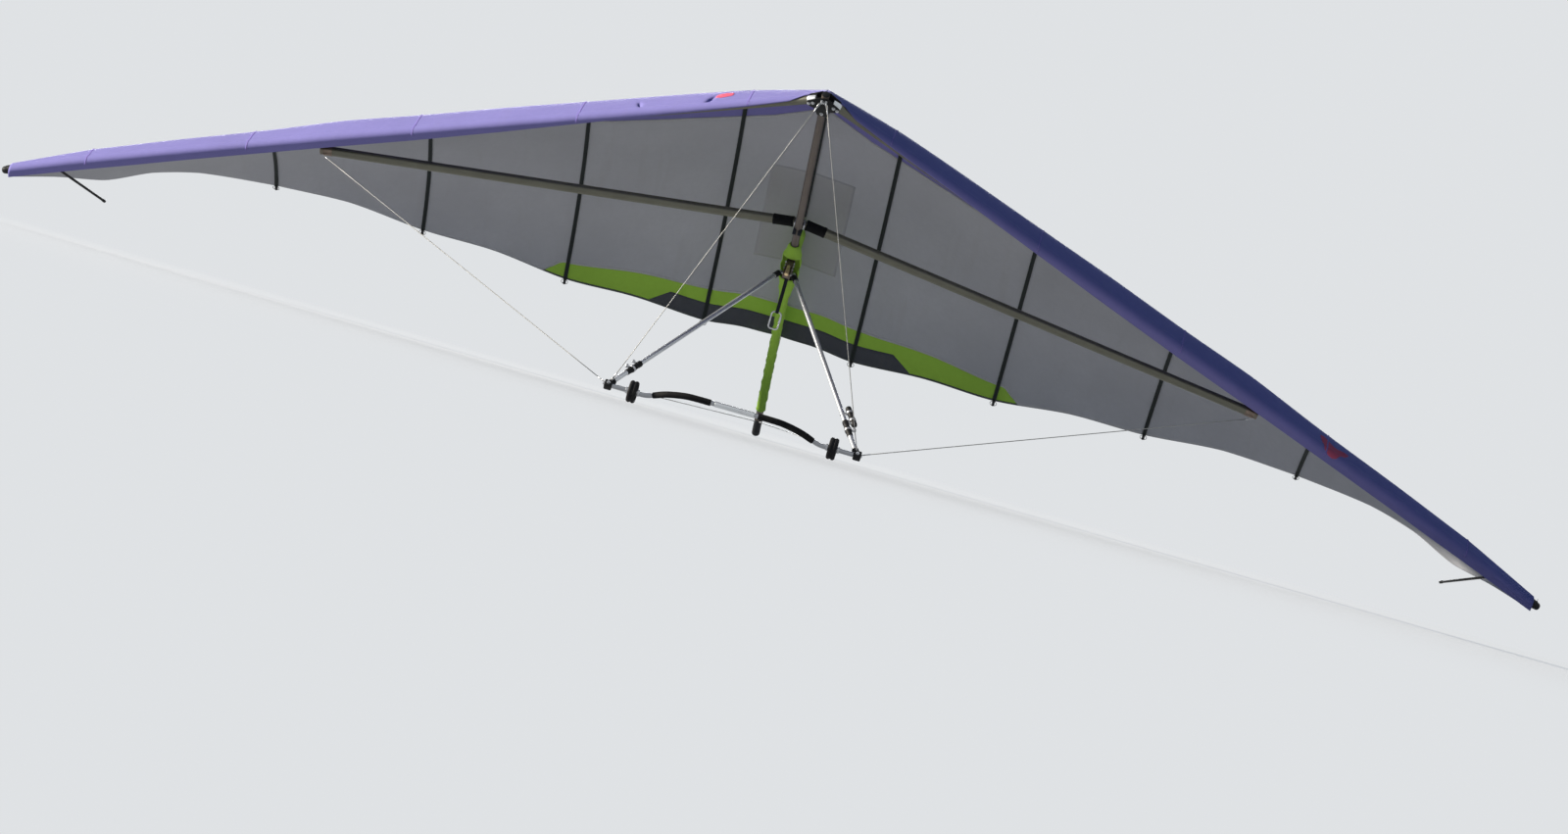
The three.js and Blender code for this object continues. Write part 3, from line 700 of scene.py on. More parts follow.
def section_line(x):
    """The section's numbers and its top curve as (length so far, y, z), behind the pocket round the tube."""
    key = round(x, 5)
    if key not in section_lines:
        s = section_at(x)
        end = math.radians(-90) - ARC_TURN
        y0 = lead_y(x) + POCKET_R * math.cos(end)
        z0 = s["lead_z"] + POCKET_R * math.sin(end)
        line = []
        length = ARC_LENGTH
        for i in range(TOP_STEPS + 1):
            t = (i / TOP_STEPS) ** 1.4
            y = lerp(y0, s["tail_y"], t)
            z = lerp(z0, s["tail_z"], t) + (s["camber"] + by_stops(STIFFENER, x)) * camber_shape(t)
            z += BILLOW * billow_at(x) * 4 * t * (1 - t)
            if line:
                length += math.hypot(y - line[-1][1], z - line[-1][2])
            line.append((length, y, z))
        section_lines[key] = (s, line)
    return section_lines[key]


def on_cloth(x, run):
    """(y, z) on the cloth, run metres round from the tube's lowest point."""
    s, line = section_line(x)
    if run < 0:
        return lead_y(x) - run, s["lead_z"] - POCKET_R + 0.02 * -run
    if run < ARC_LENGTH:
        a = math.radians(-90) - run / POCKET_R
        return lead_y(x) + POCKET_R * math.cos(a), s["lead_z"] + POCKET_R * math.sin(a)
    if run >= line[-1][0]:
        (l0, y0, z0), (l1, y1, z1) = line[-3], line[-1]
        t = (run - l1) / (l1 - l0)
        return y1 + (y1 - y0) * t, z1 + (z1 - z0) * t
    after = bisect.bisect(line, (run, math.inf))
    (l0, y0, z0), (l1, y1, z1) = line[after - 1], line[after]
    t = (run - l0) / (l1 - l0)
    return lerp(y0, y1, t), lerp(z0, z1, t)


def cloth_point(side, x, run, lift=0.0):
    """A place on the cloth, lifted off its upper side, or below it for a negative lift."""
    y, z = on_cloth(x, run)
    if lift:
        ya, za = on_cloth(x, run - 0.004)
        yb, zb = on_cloth(x, run + 0.004)
        size = math.hypot(yb - ya, zb - za)
        y -= lift * (zb - za) / size
        z += lift * (yb - ya) / size
    return Vector((side * x, y, z))


# along the wing: where round the cloth the violet panel starts, how far it goes, and how deep the bands are
LEAD_START = (
    (0.0, 0.088), (0.085, 0.086), (0.14, 0.050), (0.20, 0.026), (0.45, 0.013), (0.90, 0.003), (1.35, -0.016),
    (1.85, -0.038), (2.40, -0.050), (4.2, -0.050), (TIP_X, -0.040),
)
LEAD_DEPTH = (
    (0.0, 0.42), (0.16, 0.50), (0.30, 0.560), (0.48, 0.590), (0.70, 0.592), (0.94, 0.585), (1.25, 0.562),
    (1.60, 0.51), (2.36, 0.40), (3.35, 0.29), (4.16, 0.24), (4.45, 0.22), (TIP_X, 0.14),
)
LIME_DEPTH = ((0.0, 0.270), (0.48, 0.260), (1.40, 0.140), (1.44, 0.135), (1.56, 0.0005))
SLATE_DEPTH = ((0.0, 0.140), (0.48, 0.135), (0.72, 0.130), (0.86, 0.0005))
LIME_OUT, SLATE_OUT = 1.56, 0.86
OVERLAP = 0.010
CLOTH_THICK = 0.0009
PATCH_THICK = 0.0005


def lead_start(x):
    return by_stops(LEAD_START, x)


def lead_end(x):
    return ARC_LENGTH + by_stops(LEAD_DEPTH, x)


def tail_end(x):
    """Where the trailing edge is, cut forward in a scallop between battens."""
    return section_line(x)[1][-1][0] - SCALLOP * billow_at(x)


def lime_start(x):
    return tail_end(x) - by_stops(LIME_DEPTH, x)


def slate_start(x):
    return tail_end(x) - by_stops(SLATE_DEPTH, x)


# pinched dents in the leading edge's cloth
CREASE_COLUMNS = ("x", "run", "half_width", "half_length", "depth", "lean")
CREASES = [dict(zip(CREASE_COLUMNS, row)) for row in (
    (-1.07, 0.135, 0.010, 0.030, 0.020, 0.25),
    (-0.66, 0.138, 0.012, 0.042, 0.026, -0.35),
)]


def crease_depth(side, x, run):
    depth = 0.0
    for c in CREASES:
        if c["x"] * side > 0:
            back = run - c["run"]
            off = (x - abs(c["x"]) - c["lean"] * back) / c["half_width"]
            depth += c["depth"] * math.exp(-(abs(off) ** 1.3) - (back / c["half_length"]) ** 2)
    return depth


EVEN = ((0.0, 0.0), (1.0, 1.0))


def panel(name, side, look, x_range, run_from, run_to, steps, stands_for=None, lift=0.0, dents=False,
          thick=CLOTH_THICK, spread=(EVEN, EVEN)):
    """A cloth panel between two lines along the wing, its steps placed by spread."""
    bm = bmesh.new()
    verts = bmesh.ops.create_grid(bm, x_segments=steps[0], y_segments=steps[1], size=0.5)["verts"]
    places = {}
    for v in verts:
        x = lerp(*x_range, by_stops(spread[0], v.co.x + 0.5))
        run = lerp(run_from(x), run_to(x), by_stops(spread[1], v.co.y + 0.5))
        places[v] = (x, run)
        v.co = cloth_point(side, x, run, lift - (crease_depth(side, x, run) if dents else 0.0))
    write_flat_map(bm, "cloth", places)
    if side < 0:
        bmesh.ops.reverse_faces(bm, faces=bm.faces)
    bmesh.ops.dissolve_degenerate(bm, dist=1e-5, edges=bm.edges)
    area = sum(f.calc_area() for f in bm.faces)
    width = max(run_to(x) - run_from(x) for x in evenly(*x_range, 20))
    middle = [cloth_point(side, x, (run_from(x) + run_to(x)) / 2) for x in evenly(*x_range, 60)]
    made = piece(name, bm, look, stands_for, smooth=180, thick=thick)


def tape(name, look, lines, width=TAPE_WIDTH, thick=0.0008):
    """Flat tapes along lines of (centre, direction across): the tape map's u runs along and v across."""
    bm = bmesh.new()
    for line in lines:
        steps = len(line) - 1
        lengths = [0.0]
        for (a, _), (b, _) in zip(line, line[1:]):
            lengths.append(lengths[-1] + (b - a).length)
        places = {}
        for v in bmesh.ops.create_grid(bm, x_segments=steps, y_segments=2, size=0.5)["verts"]:
            i, w = round((v.co.x + 0.5) * steps), v.co.y
            centre, across = line[i]
            places[v] = (lengths[i], (w + 0.5) * width)
            v.co = centre + across * (w * width)
        write_flat_map(bm, "tape", places)
    return piece(name, bm, look, smooth=180, thick=thick)


def span_line(side, x_range, run_of, steps, lift):
    """A line along the wing at a run round the cloth, with the direction across it."""
    out = []
    for x in evenly(*x_range, steps):
        a = cloth_point(side, x, run_of(x) - 0.005, lift)
        b = cloth_point(side, x, run_of(x) + 0.005, lift)
        out.append(((a + b) / 2, (b - a).normalized()))
    return out


def chord_line(side, x, run_range, steps, lift):
    """A line back along the cloth at one place out, with the direction across it."""
    return [(cloth_point(side, x, run, lift), X) for run in evenly(*run_range, steps)]


# sail
LEAD_JOINTS = (0.43, 1.41, 2.39, 3.41, 4.43)
LEAD_SPREAD = (((0.0, 0.0), (0.07, 0.11), (0.37, 0.24), (1.0, 1.0)), ((0.0, 0.0), (0.5, 0.32), (1.0, 1.0)))
SEAM_LIFT = -0.0018
for word, side in SIDES:
    lead_tapes = tape(f"leading_edge_joint_tapes_{word}", "violet_tape", [
        chord_line(side, x, (max(lead_start(x) + 0.01, 0.0), lead_end(x) - 0.01), 28, 0.0011)
        for x in LEAD_JOINTS
    ])
    panel(
        f"leading_edge_cloth_{word}", side, "violet_cloth", (0.0, TIP_X), lead_start, lead_end, (440, 44),
        f"leading_edge_pocket_{word}", dents=True,
        spread=LEAD_SPREAD,
    )
    seams = tape(f"sail_seam_tapes_{word}", "white_tape", [
        span_line(side, (0.05, TIP_X), lambda x: lead_end(x) + 0.004, 120, SEAM_LIFT),
        span_line(side, (0.02, LIME_OUT - 0.06), lambda x: lime_start(x) + 0.004, 60, SEAM_LIFT),
    ])
    hem = tape(f"trailing_edge_hem_{word}", "dark_tape", [
        span_line(side, (0.0, TIP_X - 0.004), lambda x: tail_end(x) - 0.005, 160, 0.0),
    ], 0.014, 0.0032)
    panel(
        f"sail_panel_{word}", side, "white_cloth", (0.0, TIP_X), lambda x: lead_end(x) - OVERLAP,
        lambda x: min(tail_end(x), lime_start(x) + OVERLAP), (200, 56), f"sail_{word}", lift=-0.0016,
    )
    panel(
        f"lime_trailing_band_{word}", side, "lime_cloth", (0.0, LIME_OUT), lime_start,
        lambda x: min(tail_end(x), slate_start(x) + OVERLAP), (90, 8),
    )
    panel(
        f"slate_trailing_patch_{word}", side, "slate_cloth", (0.0, SLATE_OUT), slate_start, tail_end, (50, 6),
        lift=-0.0010,
    )
    # a reinforcing patch at the middle, darker in tone: painted shade where the cloth is doubled
    panel(
        f"centre_wear_patch_painted_shade_{word}", side, "patch_cloth", (0.0, 0.26), lambda x: 1.10, lambda x: 1.90,
        (12, 36), lift=-0.0020, thick=PATCH_THICK,
    )

# plain red patches on the leading edges: each outline is a table of (place along, lowest, highest) as shares
for word, side, (x_in, x_out), (run_low, run_high), outline in (
    ("right", -1, (0.540, 0.640), (0.140, 0.225), (
        (0.0, 0.40, 0.78), (0.10, 0.22, 0.95), (0.45, 0.05, 1.0), (0.70, 0.0, 0.86), (0.90, 0.12, 0.70),
        (1.0, 0.30, 0.48),
    )),
    ("left", 1, (3.36, 3.56), (0.015, 0.165), (
        (0.0, 0.84, 0.94), (0.10, 0.50, 1.0), (0.20, 0.16, 0.96), (0.36, 0.02, 0.84), (0.50, 0.0, 0.74),
        (0.62, 0.08, 0.74), (0.74, 0.30, 0.82), (0.88, 0.52, 0.88), (1.0, 0.76, 0.86),
    )),
):
    lowest = [(lerp(x_in, x_out, along), lerp(run_low, run_high, low)) for along, low, _ in outline]
    highest = [(lerp(x_in, x_out, along), lerp(run_low, run_high, high)) for along, _, high in outline]
    panel(
        f"red_patch_{word}", side, "red_cloth", (x_in, x_out), lambda x: by_stops(lowest, x),
        lambda x: by_stops(highest, x), (40, 24), lift=0.0016, dents=True,
        thick=PATCH_THICK,
    )


def flat_pocket(name, side, x, run_range, steps, lift, widths, sides, flat, stands_for=None):
    """A flat sewn pocket back along the cloth, under the sail."""
    bm = bmesh.new()
    path = [cloth_point(side, x, run, lift) for run in evenly(*run_range, steps)]
    places = sweep(bm, path, widths, sides, flat, X)
    write_flat_map(bm, "tape", {v: (along, v.co.x * side - x + 0.013) for v, (along, _) in places.items()})
    piece(name, bm, "batten_black", stands_for, smooth=180)


# batten pockets under the sail, with their plugs and tie loops
BATTEN_LIFT = -0.0072
PLUG = mm((0, 0), (8.5, 0), (9.2, 6), (9.2, 30), (7, 34), (9.8, 37), (9.8, 43), (6, 48), (0, 49))
PLUG_GROOVE = 0.034
for word, side in SIDES:
    for k, x in enumerate(BATTENS, 1):
        flat_pocket(
            f"batten_pocket_{word}_{k}", side, x, (0.70 * lead_end(x), tail_end(x) - 0.002), 60, BATTEN_LIFT,
            [0.0125 * min(1, 0.55 + i / 6) for i in range(61)], 16, 0.36, f"batten_{word}_{k}",
        )
        end = cloth_point(side, x, tail_end(x) - 0.012, BATTEN_LIFT)
        away = (cloth_point(side, x, tail_end(x) + 0.028, BATTEN_LIFT) - end).normalized()
        bm = bmesh.new()
        lathe(bm, PLUG, aim(end, away), 20)
        piece(f"batten_plug_{word}_{k}", bm, "fitting_black")
        bm = bmesh.new()
        middle = end + away * (PLUG_GROOVE - 0.008) - Z * 0.004
        sweep(bm, oval(middle, away * -0.018, X * 0.021), 0.0016, 8, closed=True)
        piece(f"batten_tie_loop_{word}_{k}", bm, "strap_webbing", smooth=180)


# stitched patches where the kingpost and the two top side wires pass through the sail
def ring_patch(name, side, x_mid, run_mid, hole, rim, look):
    """A flat ring of cloth on the sail's upper side, its map running round the ring."""
    bm = bmesh.new()
    outer = bmesh.ops.create_circle(bm, cap_ends=False, radius=rim, segments=40)["verts"]
    grown = bmesh.ops.extrude_edge_only(bm, edges=edges_of(outer))["geom"]
    inner = [g for g in grown if isinstance(g, bmesh.types.BMVert)]
    bmesh.ops.scale(bm, vec=(hole / rim, hole / rim, 1), verts=inner)
    write_flat_map(bm, "tape", {
        v: (math.atan2(v.co.y, v.co.x) * rim, (rim - v.co.xy.length) / (rim - hole) * TAPE_WIDTH)
        for v in bm.verts
    })
    for v in bm.verts:
        x, run = x_mid + v.co.x, run_mid + v.co.y
        v.co = cloth_point(side if x >= 0 else -side, abs(x), run, 0.0016)
    piece(name, bm, look, smooth=180, thick=0.0012)


def run_at(x, y_wanted):
    return min((abs(y - y_wanted), run) for run, y, _ in section_line(x)[1])[1]


def run_under_wire(start, end):
    """Where a wire that runs out along the wing meets the cloth: (x, run)."""
    at = min(evenly(start, end, 200)[1:-1], key=lambda p: abs(cloth_point(1, p.x, run_at(p.x, p.y)).z - p.z))
    return at.x, run_at(at.x, at.y)


ring_patch("kingpost_patch", 1, 0.0, run_at(0.0, KING_Y), 0.032, 0.075, "dark_tape")
slot_x, slot_run = run_under_wire(Vector((0, KING_Y, KING_TOP + 0.020)), TOP_SIDE_WIRE_END)
for word, side in SIDES:
    ring_patch(f"top_wire_patch_{word}", side, slot_x, slot_run, 0.016, 0.045, "white_tape")

# centre pocket on the sail's middle line, from the nose back to the crossbar
flat_pocket("centre_pocket", 1, 0.0, (0.40, run_at(0.0, -0.150)), 40, -0.0085, 0.014, 14, 0.42)

# keel
tube_piece("keel", "keel_metal", "keel_tube", evenly(Y * NOSE_Y, Y * TAIL_Y, 12), KEEL_R, 40)
ring_piece("keel_nose_plug", "fitting_black", [
    ((0, NOSE_Y - 0.001, 0), -Y, mm((0, -12), (20.5, -12), (20.5, 0), (22.5, 0), (22.5, 2), (19, 4), (0, 4))),
])
ring_piece("keel_end_boot", "fitting_black", [
    ((0, TAIL_Y, 0), Y, mm(
        (0, 0.5), (24.8, 0.5), (25.8, 1.5), (25.8, 12), (24, 14), (24, 17), (25.8, 19), (26, 52), (25, 57.5),
        (22.5, 60), (0, 60),
    )),
], "keel_end_cap", 40)
ring_piece("keel_tail_boot_sleeve", "fitting_black", [
    ((0, TAIL_Y - 0.045, 0), Y, sleeve(KEEL_R + 0.0002, KEEL_R + 0.0028, 0.045)),
], steps=40)

# leading edge tubes, from the nose plates to the tips, with their boots, and the crossbar halves
LEAD_TUBE_START = 0.046
LEAD_PLACES = (LEAD_TUBE_START, 0.25, 0.48, 0.94, 1.40, 1.88, 2.36, 2.86, 3.35, 3.85, 4.16, 4.45, 4.70)
TIP = lead_at(TIP_X)
TIP_RUN = (TIP - lead_at(LEAD_PLACES[-1])).normalized()
NOSE_RUN = (lead_at(LEAD_PLACES[1]) - lead_at(LEAD_TUBE_START)).normalized()
CAP_AT = TIP + TIP_RUN * 0.0125
ROD_FROM, ROD_TO = lead_at(4.660), Vector((4.400, 1.505, 0.158))
ROD_RUN = (ROD_TO - ROD_FROM).normalized()
ROD_R = 0.0082
# the crossbar halves run from the centre block to the leading edges
CROSS_IN = lerp(CROSS_CENTRE, CROSS_TIP, 0.034 / CROSS_TIP.x)
CROSS_RUN = (CROSS_TIP - CROSS_IN).normalized()
for word, side in SIDES:
    tube_piece(
        f"leading_edge_spar_{word}", "olive_tube", f"leading_edge_tube_{word}",
        [lead_at(x) for x in LEAD_PLACES] + [TIP + TIP_RUN * 0.012], LEAD_R, side=side,
    )
    ring_piece(f"leading_edge_nose_end_{word}", "silver_tube", [
        (lead_at(LEAD_TUBE_START) - NOSE_RUN * 0.001, NOSE_RUN, mm(
            (0, 0), (24.5, 0), (26.2, 1.5), (26.2, 52), (25.2, 53.5), (0, 53.5),
        )),
    ], side=side)
    ring_piece(f"tip_boot_sleeve_{word}", "fitting_black", [
        (CAP_AT - TIP_RUN * 0.036, TIP_RUN, sleeve(LEAD_R + 0.0003, LEAD_R + 0.0026, 0.034)),
    ], side=side)
    ring_piece(f"tip_boot_{word}", "fitting_black", [
        (CAP_AT, TIP_RUN, mm(
            (0, 0), (26.2, 0), (26.8, 2), (26.2, 10), (24.5, 12), (24.5, 14), (24, 22), (21.5, 31),
            (16.5, 36.5), (9, 37.8), (0, 38),
        )),
    ], f"tip_cap_{word}", side=side)
    bm = bmesh.new()
    fin = Matrix.Translation(mirrored(CAP_AT + TIP_RUN * 0.016, side))
    fin @= Matrix.Rotation(-side * math.pi / 2, 4, "Z") @ Matrix.Rotation(math.pi / 2, 4, "X")
    plate(bm, mm((-16, 0), (20, 0), (30, 32), (14, 36)), 0.003, fin)
    piece(f"tip_fin_{word}", bm, "fitting_black")
    # the rod from the spar back under the tip
    bm = bmesh.new()
    rod = (ROD_FROM + ROD_RUN * 0.024, (ROD_FROM + ROD_TO) / 2, ROD_TO - ROD_RUN * 0.02)
    sweep(bm, [mirrored(p, side) for p in rod], ROD_R, 16)
    rod_run = mirrored(ROD_RUN, side)
    rod_end = mm((0, -30), (9.6, -30), (10, -28), (10, -3), (8, 0), (0, 0))
    lathe(bm, rod_end, aim(mirrored(ROD_TO, side), rod_run), 16)
    lathe(bm, sleeve(ROD_R, 0.0115, 0.014), aim(mirrored(ROD_FROM + ROD_RUN * 0.042, side), rod_run), 16)
    piece(f"tip_batten_{word}", bm, "fitting_black", f"tip_rod_{word}")

    tube_piece(
        f"crossbar_tube_{word}", "olive_tube", f"crossbar_{word}",
        evenly(CROSS_IN, CROSS_TIP, 8), CROSS_R, 40, side,
    )
    ring_piece(f"crossbar_cuff_{word}", "sleeve_black", [
        (CROSS_IN + CROSS_RUN * 0.067, CROSS_RUN, both_ways(mm(
            (29.2, 63), (32.2, 63), (33, 62), (33, 50), (31.8, 48.5),
        ))),
    ], f"crossbar_sleeve_{word}", 40, side)
    ring_piece(f"crossbar_end_collar_{word}", "brown_fitting", [
        (CROSS_TIP - CROSS_RUN * 0.045, CROSS_RUN, sleeve(CROSS_R + 0.0002, CROSS_R + 0.0022, 0.030)),
        (CROSS_TIP - CROSS_RUN * 0.002, CROSS_RUN, mm((0, -8), (28.5, -8), (29.8, 0), (27.5, 4), (0, 5.5))),
    ], steps=40, side=side)
    # the crossbar's junction on the leading edge
    bm = bmesh.new()
    junction = Matrix.Translation((side * 2.952, 0.142, -0.0078)) @ Matrix.Rotation(-side * 1.05, 4, "Z")
    plate(bm, mm(
        (-72, -18), (-60, -22.5), (60, -22.5), (72, -18), (72, 18), (60, 22.5), (-60, 22.5), (-72, 18),
    ), 0.004, junction)
    for offset in (-0.052, 0.0, 0.052):
        bolt(bm, junction @ Vector((offset, 0, 0)), Z, 0.006, 0.0055)
    piece(f"crossbar_junction_{word}", bm, "brown_fitting", f"crossbar_bracket_{word}")

# crossbar centre block with its straps
HINGE = Vector((0, -0.275, 0.0505))
bm = bmesh.new()
block(bm, (0.070, 0.042, 0.050), Matrix.Translation(HINGE), 0.004, 3)
for _, side in SIDES:
    bolt(bm, HINGE + X * side * 0.022, Y, 0.044)
piece("crossbar_hinge_block", bm, "fitting_steel", "crossbar_joint")
bm = bmesh.new()
for x in (-0.016, 0.016):
    sweep(bm, oval(Vector((x, HINGE.y, 0.022)), Z * 0.060, Y * 0.031), 0.0105, 10, 0.16, X, closed=True)
piece("crossbar_restraint_straps", bm, "strap_webbing", smooth=60)

# nose plates and their bolts
NOSE_OUTLINE = mm(
    (-26, -1490), (26, -1490), (96, -1440), (100, -1410), (50, -1392), (24, -1345), (-24, -1345),
    (-50, -1392), (-100, -1410), (-96, -1440),
)
for word, z in (("upper", 0.02735), ("lower", -0.02735)):
    bm = bmesh.new()
    plate(bm, NOSE_OUTLINE, 0.004, Matrix.Translation((0, 0, z)))
    piece(f"nose_gusset_{word}", bm, "fitting_black", f"nose_plate_{word}")
bm = bmesh.new()
for x, y in mm((0, -1462), (0, -1362), (62, -1434), (-62, -1434), (86, -1421), (-86, -1421)):
    bolt(bm, (x, y, 0), Z, 0.0588, 0.0075)
piece("nose_bolts", bm, "fitting_steel")

# control frame: uprights, their folding knuckles and quick pins, and the corners
UP_DOWN = (CORNER - UPRIGHT_TOP).normalized()
KNUCKLE = CORNER - UP_DOWN * 0.235
for word, side in SIDES:
    upright_points = evenly(UPRIGHT_TOP - UP_DOWN * 0.012, CORNER - UP_DOWN * 0.024, 10)
    tube_piece(f"upright_tube_{word}", "silver_tube", f"upright_{word}", upright_points, UPRIGHT_R, 36, side)
    ring_piece(f"upright_knuckle_{word}", "fitting_black", [
        (KNUCKLE, UP_DOWN, mm(
            (14.7, -65), (17.5, -65), (19, -62), (19, -40), (17.2, -38), (17.2, -8), (19.4, -5), (19.4, 30),
            (17.5, 34), (17.5, 58), (16.5, 65), (14.7, 65),
        )),
    ], f"upright_sleeve_{word}", side=side)
    down = mirrored(UP_DOWN, side)
    bm = bmesh.new()
    for shift, size in ((-0.050, 0.010), (0.012, 0.012)):
        pin = [
            (0, 0), (0.006, 0), (0.006, 0.016), (size, 0.018), (size, 0.030), (size * 0.7, 0.034), (0, 0.035),
        ]
        pin_at = mirrored(KNUCKLE + UP_DOWN * shift, side) + X * side * 0.012
        lathe(bm, pin, aim(pin_at, (side, -0.4, 0.2)), 20)
    lathe(bm, sleeve(0.0196, 0.0222, 0.007), aim(mirrored(KNUCKLE + UP_DOWN * 0.012, side), down))
    piece(f"upright_quick_pins_{word}", bm, "fitting_steel")

    corner = mirrored(CORNER, side)
    bm = bmesh.new()
    block(bm, (0.046, 0.046, 0.046), Matrix.Translation(corner), 0.007, 3)
    lathe(bm, sleeve(0.0142, 0.0205, 0.016, 0.002), aim(corner - down * 0.036, down), 28)
    piece(f"corner_knuckle_{word}", bm, "fitting_black", f"corner_bracket_{word}")
    bm = bmesh.new()
    bolt(bm, corner, Y, 0.0475, 0.0075)
    bolt(bm, corner, X, 0.0475)
    piece(f"corner_bolts_{word}", bm, "fitting_steel")

# spring catch strapped to the outboard side of the left upright
CATCH_UP = 0.330
CATCH_AT = CORNER - UP_DOWN * CATCH_UP + Vector((0.040, -0.006, 0.018))
ring_piece("upright_catch", "fitting_black", [
    (CATCH_AT, UP_DOWN, mm(
        (0, -84), (13, -84), (17.2, -80), (18, -74), (18, -20), (16.8, -17), (16.8, 12), (18, 15), (18, 66),
        (15, 78), (8.5, 84), (0, 84),
    )),
])
bm = bmesh.new()
for shift in (-0.036, 0.030):
    strap_at = CATCH_AT + UP_DOWN * shift
    inward = CORNER - UP_DOWN * (CATCH_UP - shift) - strap_at
    inward -= UP_DOWN * inward.dot(UP_DOWN)
    lathe(bm, sleeve(0.0182, 0.0198, 0.007), aim(strap_at, UP_DOWN))
    lathe(bm, sleeve(0.0147, 0.0163, 0.007), aim(strap_at + inward, UP_DOWN))
    block(bm, (0.012, 0.010, 0.014), aim(strap_at + inward * 0.56, UP_DOWN, inward), 0.001)
piece("upright_catch_clamps", bm, "fitting_steel", smooth=35)


def through(points, steps):
    """A smooth line through the points, each span in equal steps."""
    out = []
    for i, (a, b) in enumerate(zip(points, points[1:])):
        before = points[i - 1] if i else a - (b - a)
        after = points[i + 2] if i + 2 < len(points) else b + (b - a)
        d0, d1, d2 = (math.sqrt((q - p).length) for p, q in ((before, a), (a, b), (b, after)))
        pull_a = b - a + (a - before) * (d1 / d0) - (b - before) * (d1 / (d0 + d1))
        pull_b = b - a + (after - b) * (d1 / d2) - (after - a) * (d1 / (d1 + d2))
        out += [hermite(a, b, pull_a, pull_b, k / steps) for k in range(steps)]
    return [*out, points[-1]]


# base bar: each bend is (place out, share of the forward set)
BASE_FORWARD = 0.100
BASE_BENDS = (
    (CORNER.x - 0.02435, 0), (0.660, 0), (0.600, 0), (0.520, 0), (0.400, 0.62), (0.290, 0.95), (0.210, 1),
    (0.150, 1), (0.075, 1), (0, 1),
)
base_half = [Vector((x, CORNER.y - share * BASE_FORWARD, CORNER.z)) for x, share in BASE_BENDS]
base_line = through(base_half + [mirrored(v, -1) for v in reversed(base_half[:-1])], 8)
# the base bar's darker tone is a painted dark reflection on its polish
tube_piece("base_bar", "silver_tube_painted_dark", "base_tube", base_line, BASE_R, 28)
ring_piece("base_bar_sleeve", "silver_tube", [
    (base_half[-1], X, sleeve(BASE_R + 0.0003, BASE_R + 0.0024, 0.118)),
], "base_tube_sleeve")
GRIP_IN, GRIP_OUT = 0.140, 0.478
for word, side in SIDES:
    on_grip = sorted((p for p in base_line if GRIP_IN <= p.x * side <= GRIP_OUT), key=lambda p: p.x * side)
    last = len(on_grip) - 1
    swell = [0.0178 + 0.0011 * min(1, i, last - i) + 0.0002 * math.sin(i * 1.9) for i in range(last + 1)]
    tube_piece(f"foam_grip_{word}", "grip_foam", f"grip_{word}", on_grip, swell, 28)

# wheels: dished sides, five ribs, a tread with a groove
WHEEL = both_ways(mm(
    (16, 23), (22.5, 23), (24.5, 21), (25, 10), (30, 7), (44, 7), (47.5, 10), (49, 21), (52, 24.5),
    (57.5, 25), (62, 21.5), (64.5, 16), (65, 9.5), (64.2, 6), (60.6, 3.5),
))
for word, side in SIDES:
    at = mirrored(WHEEL_AT, side)
    bm = bmesh.new()
    lathe(bm, WHEEL, aim(at, (side, 0, 0)), 64)
    for a in round_turn(5):
        for face in (1, -1):
            turn = Matrix.Translation(at + X * face * 0.0125) @ Matrix.Rotation(a, 4, "X")
            block(bm, (0.012, 0.006, 0.026), turn @ Matrix.Translation((0, 0, 0.036)), 0.0012)
    piece(f"wheel_tyre_{word}", bm, "wheel_plastic", f"wheel_{word}", body=f"wheel_{word}")
    ring_piece(f"wheel_stop_rings_{word}", "fitting_steel", [
        (at + X * shift, X, sleeve(0.0142, 0.0195, 0.0065)) for shift in (-0.034, 0.034)
    ])

# apex bracket with the uprights' heads
CHEEK = mm((-28, -150), (28, -150), (28, -40), (20, -23.5), (-20, -23.5), (-28, -40))
bm = bmesh.new()
for _, side in SIDES:
    plate(bm, CHEEK, 0.004, Matrix.Translation((side * 0.0205, 0, 0)) @ CROSSWISE)
block(bm, (0.038, 0.052, 0.060), Matrix.Translation((0, 0, -0.056)), 0.003)
block(bm, (0.038, 0.040, 0.046), Matrix.Translation((0, 0, -0.122)), 0.003)
piece("apex_channel", bm, "brown_fitting", "apex_bracket")
bm = bmesh.new()
for y, z in mm((-14, -45), (14, -45), (0, -82), (0, -126)):
    bolt(bm, (0, y, z), X, 0.0455)
piece("apex_bolts", bm, "fitting_steel")
# the bolt cover's gold tone is a painted warm highlight
ring_piece("apex_bolt_cover", "warm_highlight_fitting", [
    ((0, -0.0300, -0.122), Z, mm(
        (0, -36), (10, -36), (12.5, -34), (12.5, 20), (10.5, 26), (10.5, 34), (8.5, 36), (0, 36),
    )),
], steps=28)
HEAD_PLUG = sleeve(0.0147, 0.0180, 0.022, 0.0015)
ring_piece("upright_head_plugs", "fitting_black", [
    (mirrored(UPRIGHT_TOP + UP_DOWN * 0.030, side), mirrored(UP_DOWN, side), HEAD_PLUG) for _, side in SIDES
])

# kingpost
bm = bmesh.new()
block(bm, (0.038, 0.058, 0.024), Matrix.Translation((0, KING_Y, 0.0365)), 0.003)
SOCKET = mm((0, 0), (21.5, 0), (22.5, 2), (20.5, 26), (18.5, 30), (0, 30))
lathe(bm, SOCKET, aim((0, KING_Y, 0.047), Z), 28)
piece("kingpost_socket", bm, "fitting_black", "kingpost_base")
king_points = evenly(Vector((0, KING_Y, 0.0505)), Vector((0, KING_Y, KING_TOP)), 6)
tube_piece("kingpost_tube", "silver_tube", "kingpost", king_points, KING_R)
bm = bmesh.new()
CAP = mm((0, -20), (15.8, -20), (16.8, -18), (16.8, 4), (15, 6), (15, 16.5), (13, 19.5), (0, 20))
lathe(bm, CAP, aim(KING_HEAD, Z), 28)
CAP_CHEEK = mm((-20, -12), (20, -12), (22, 4), (12, 16), (-12, 16), (-22, 4))
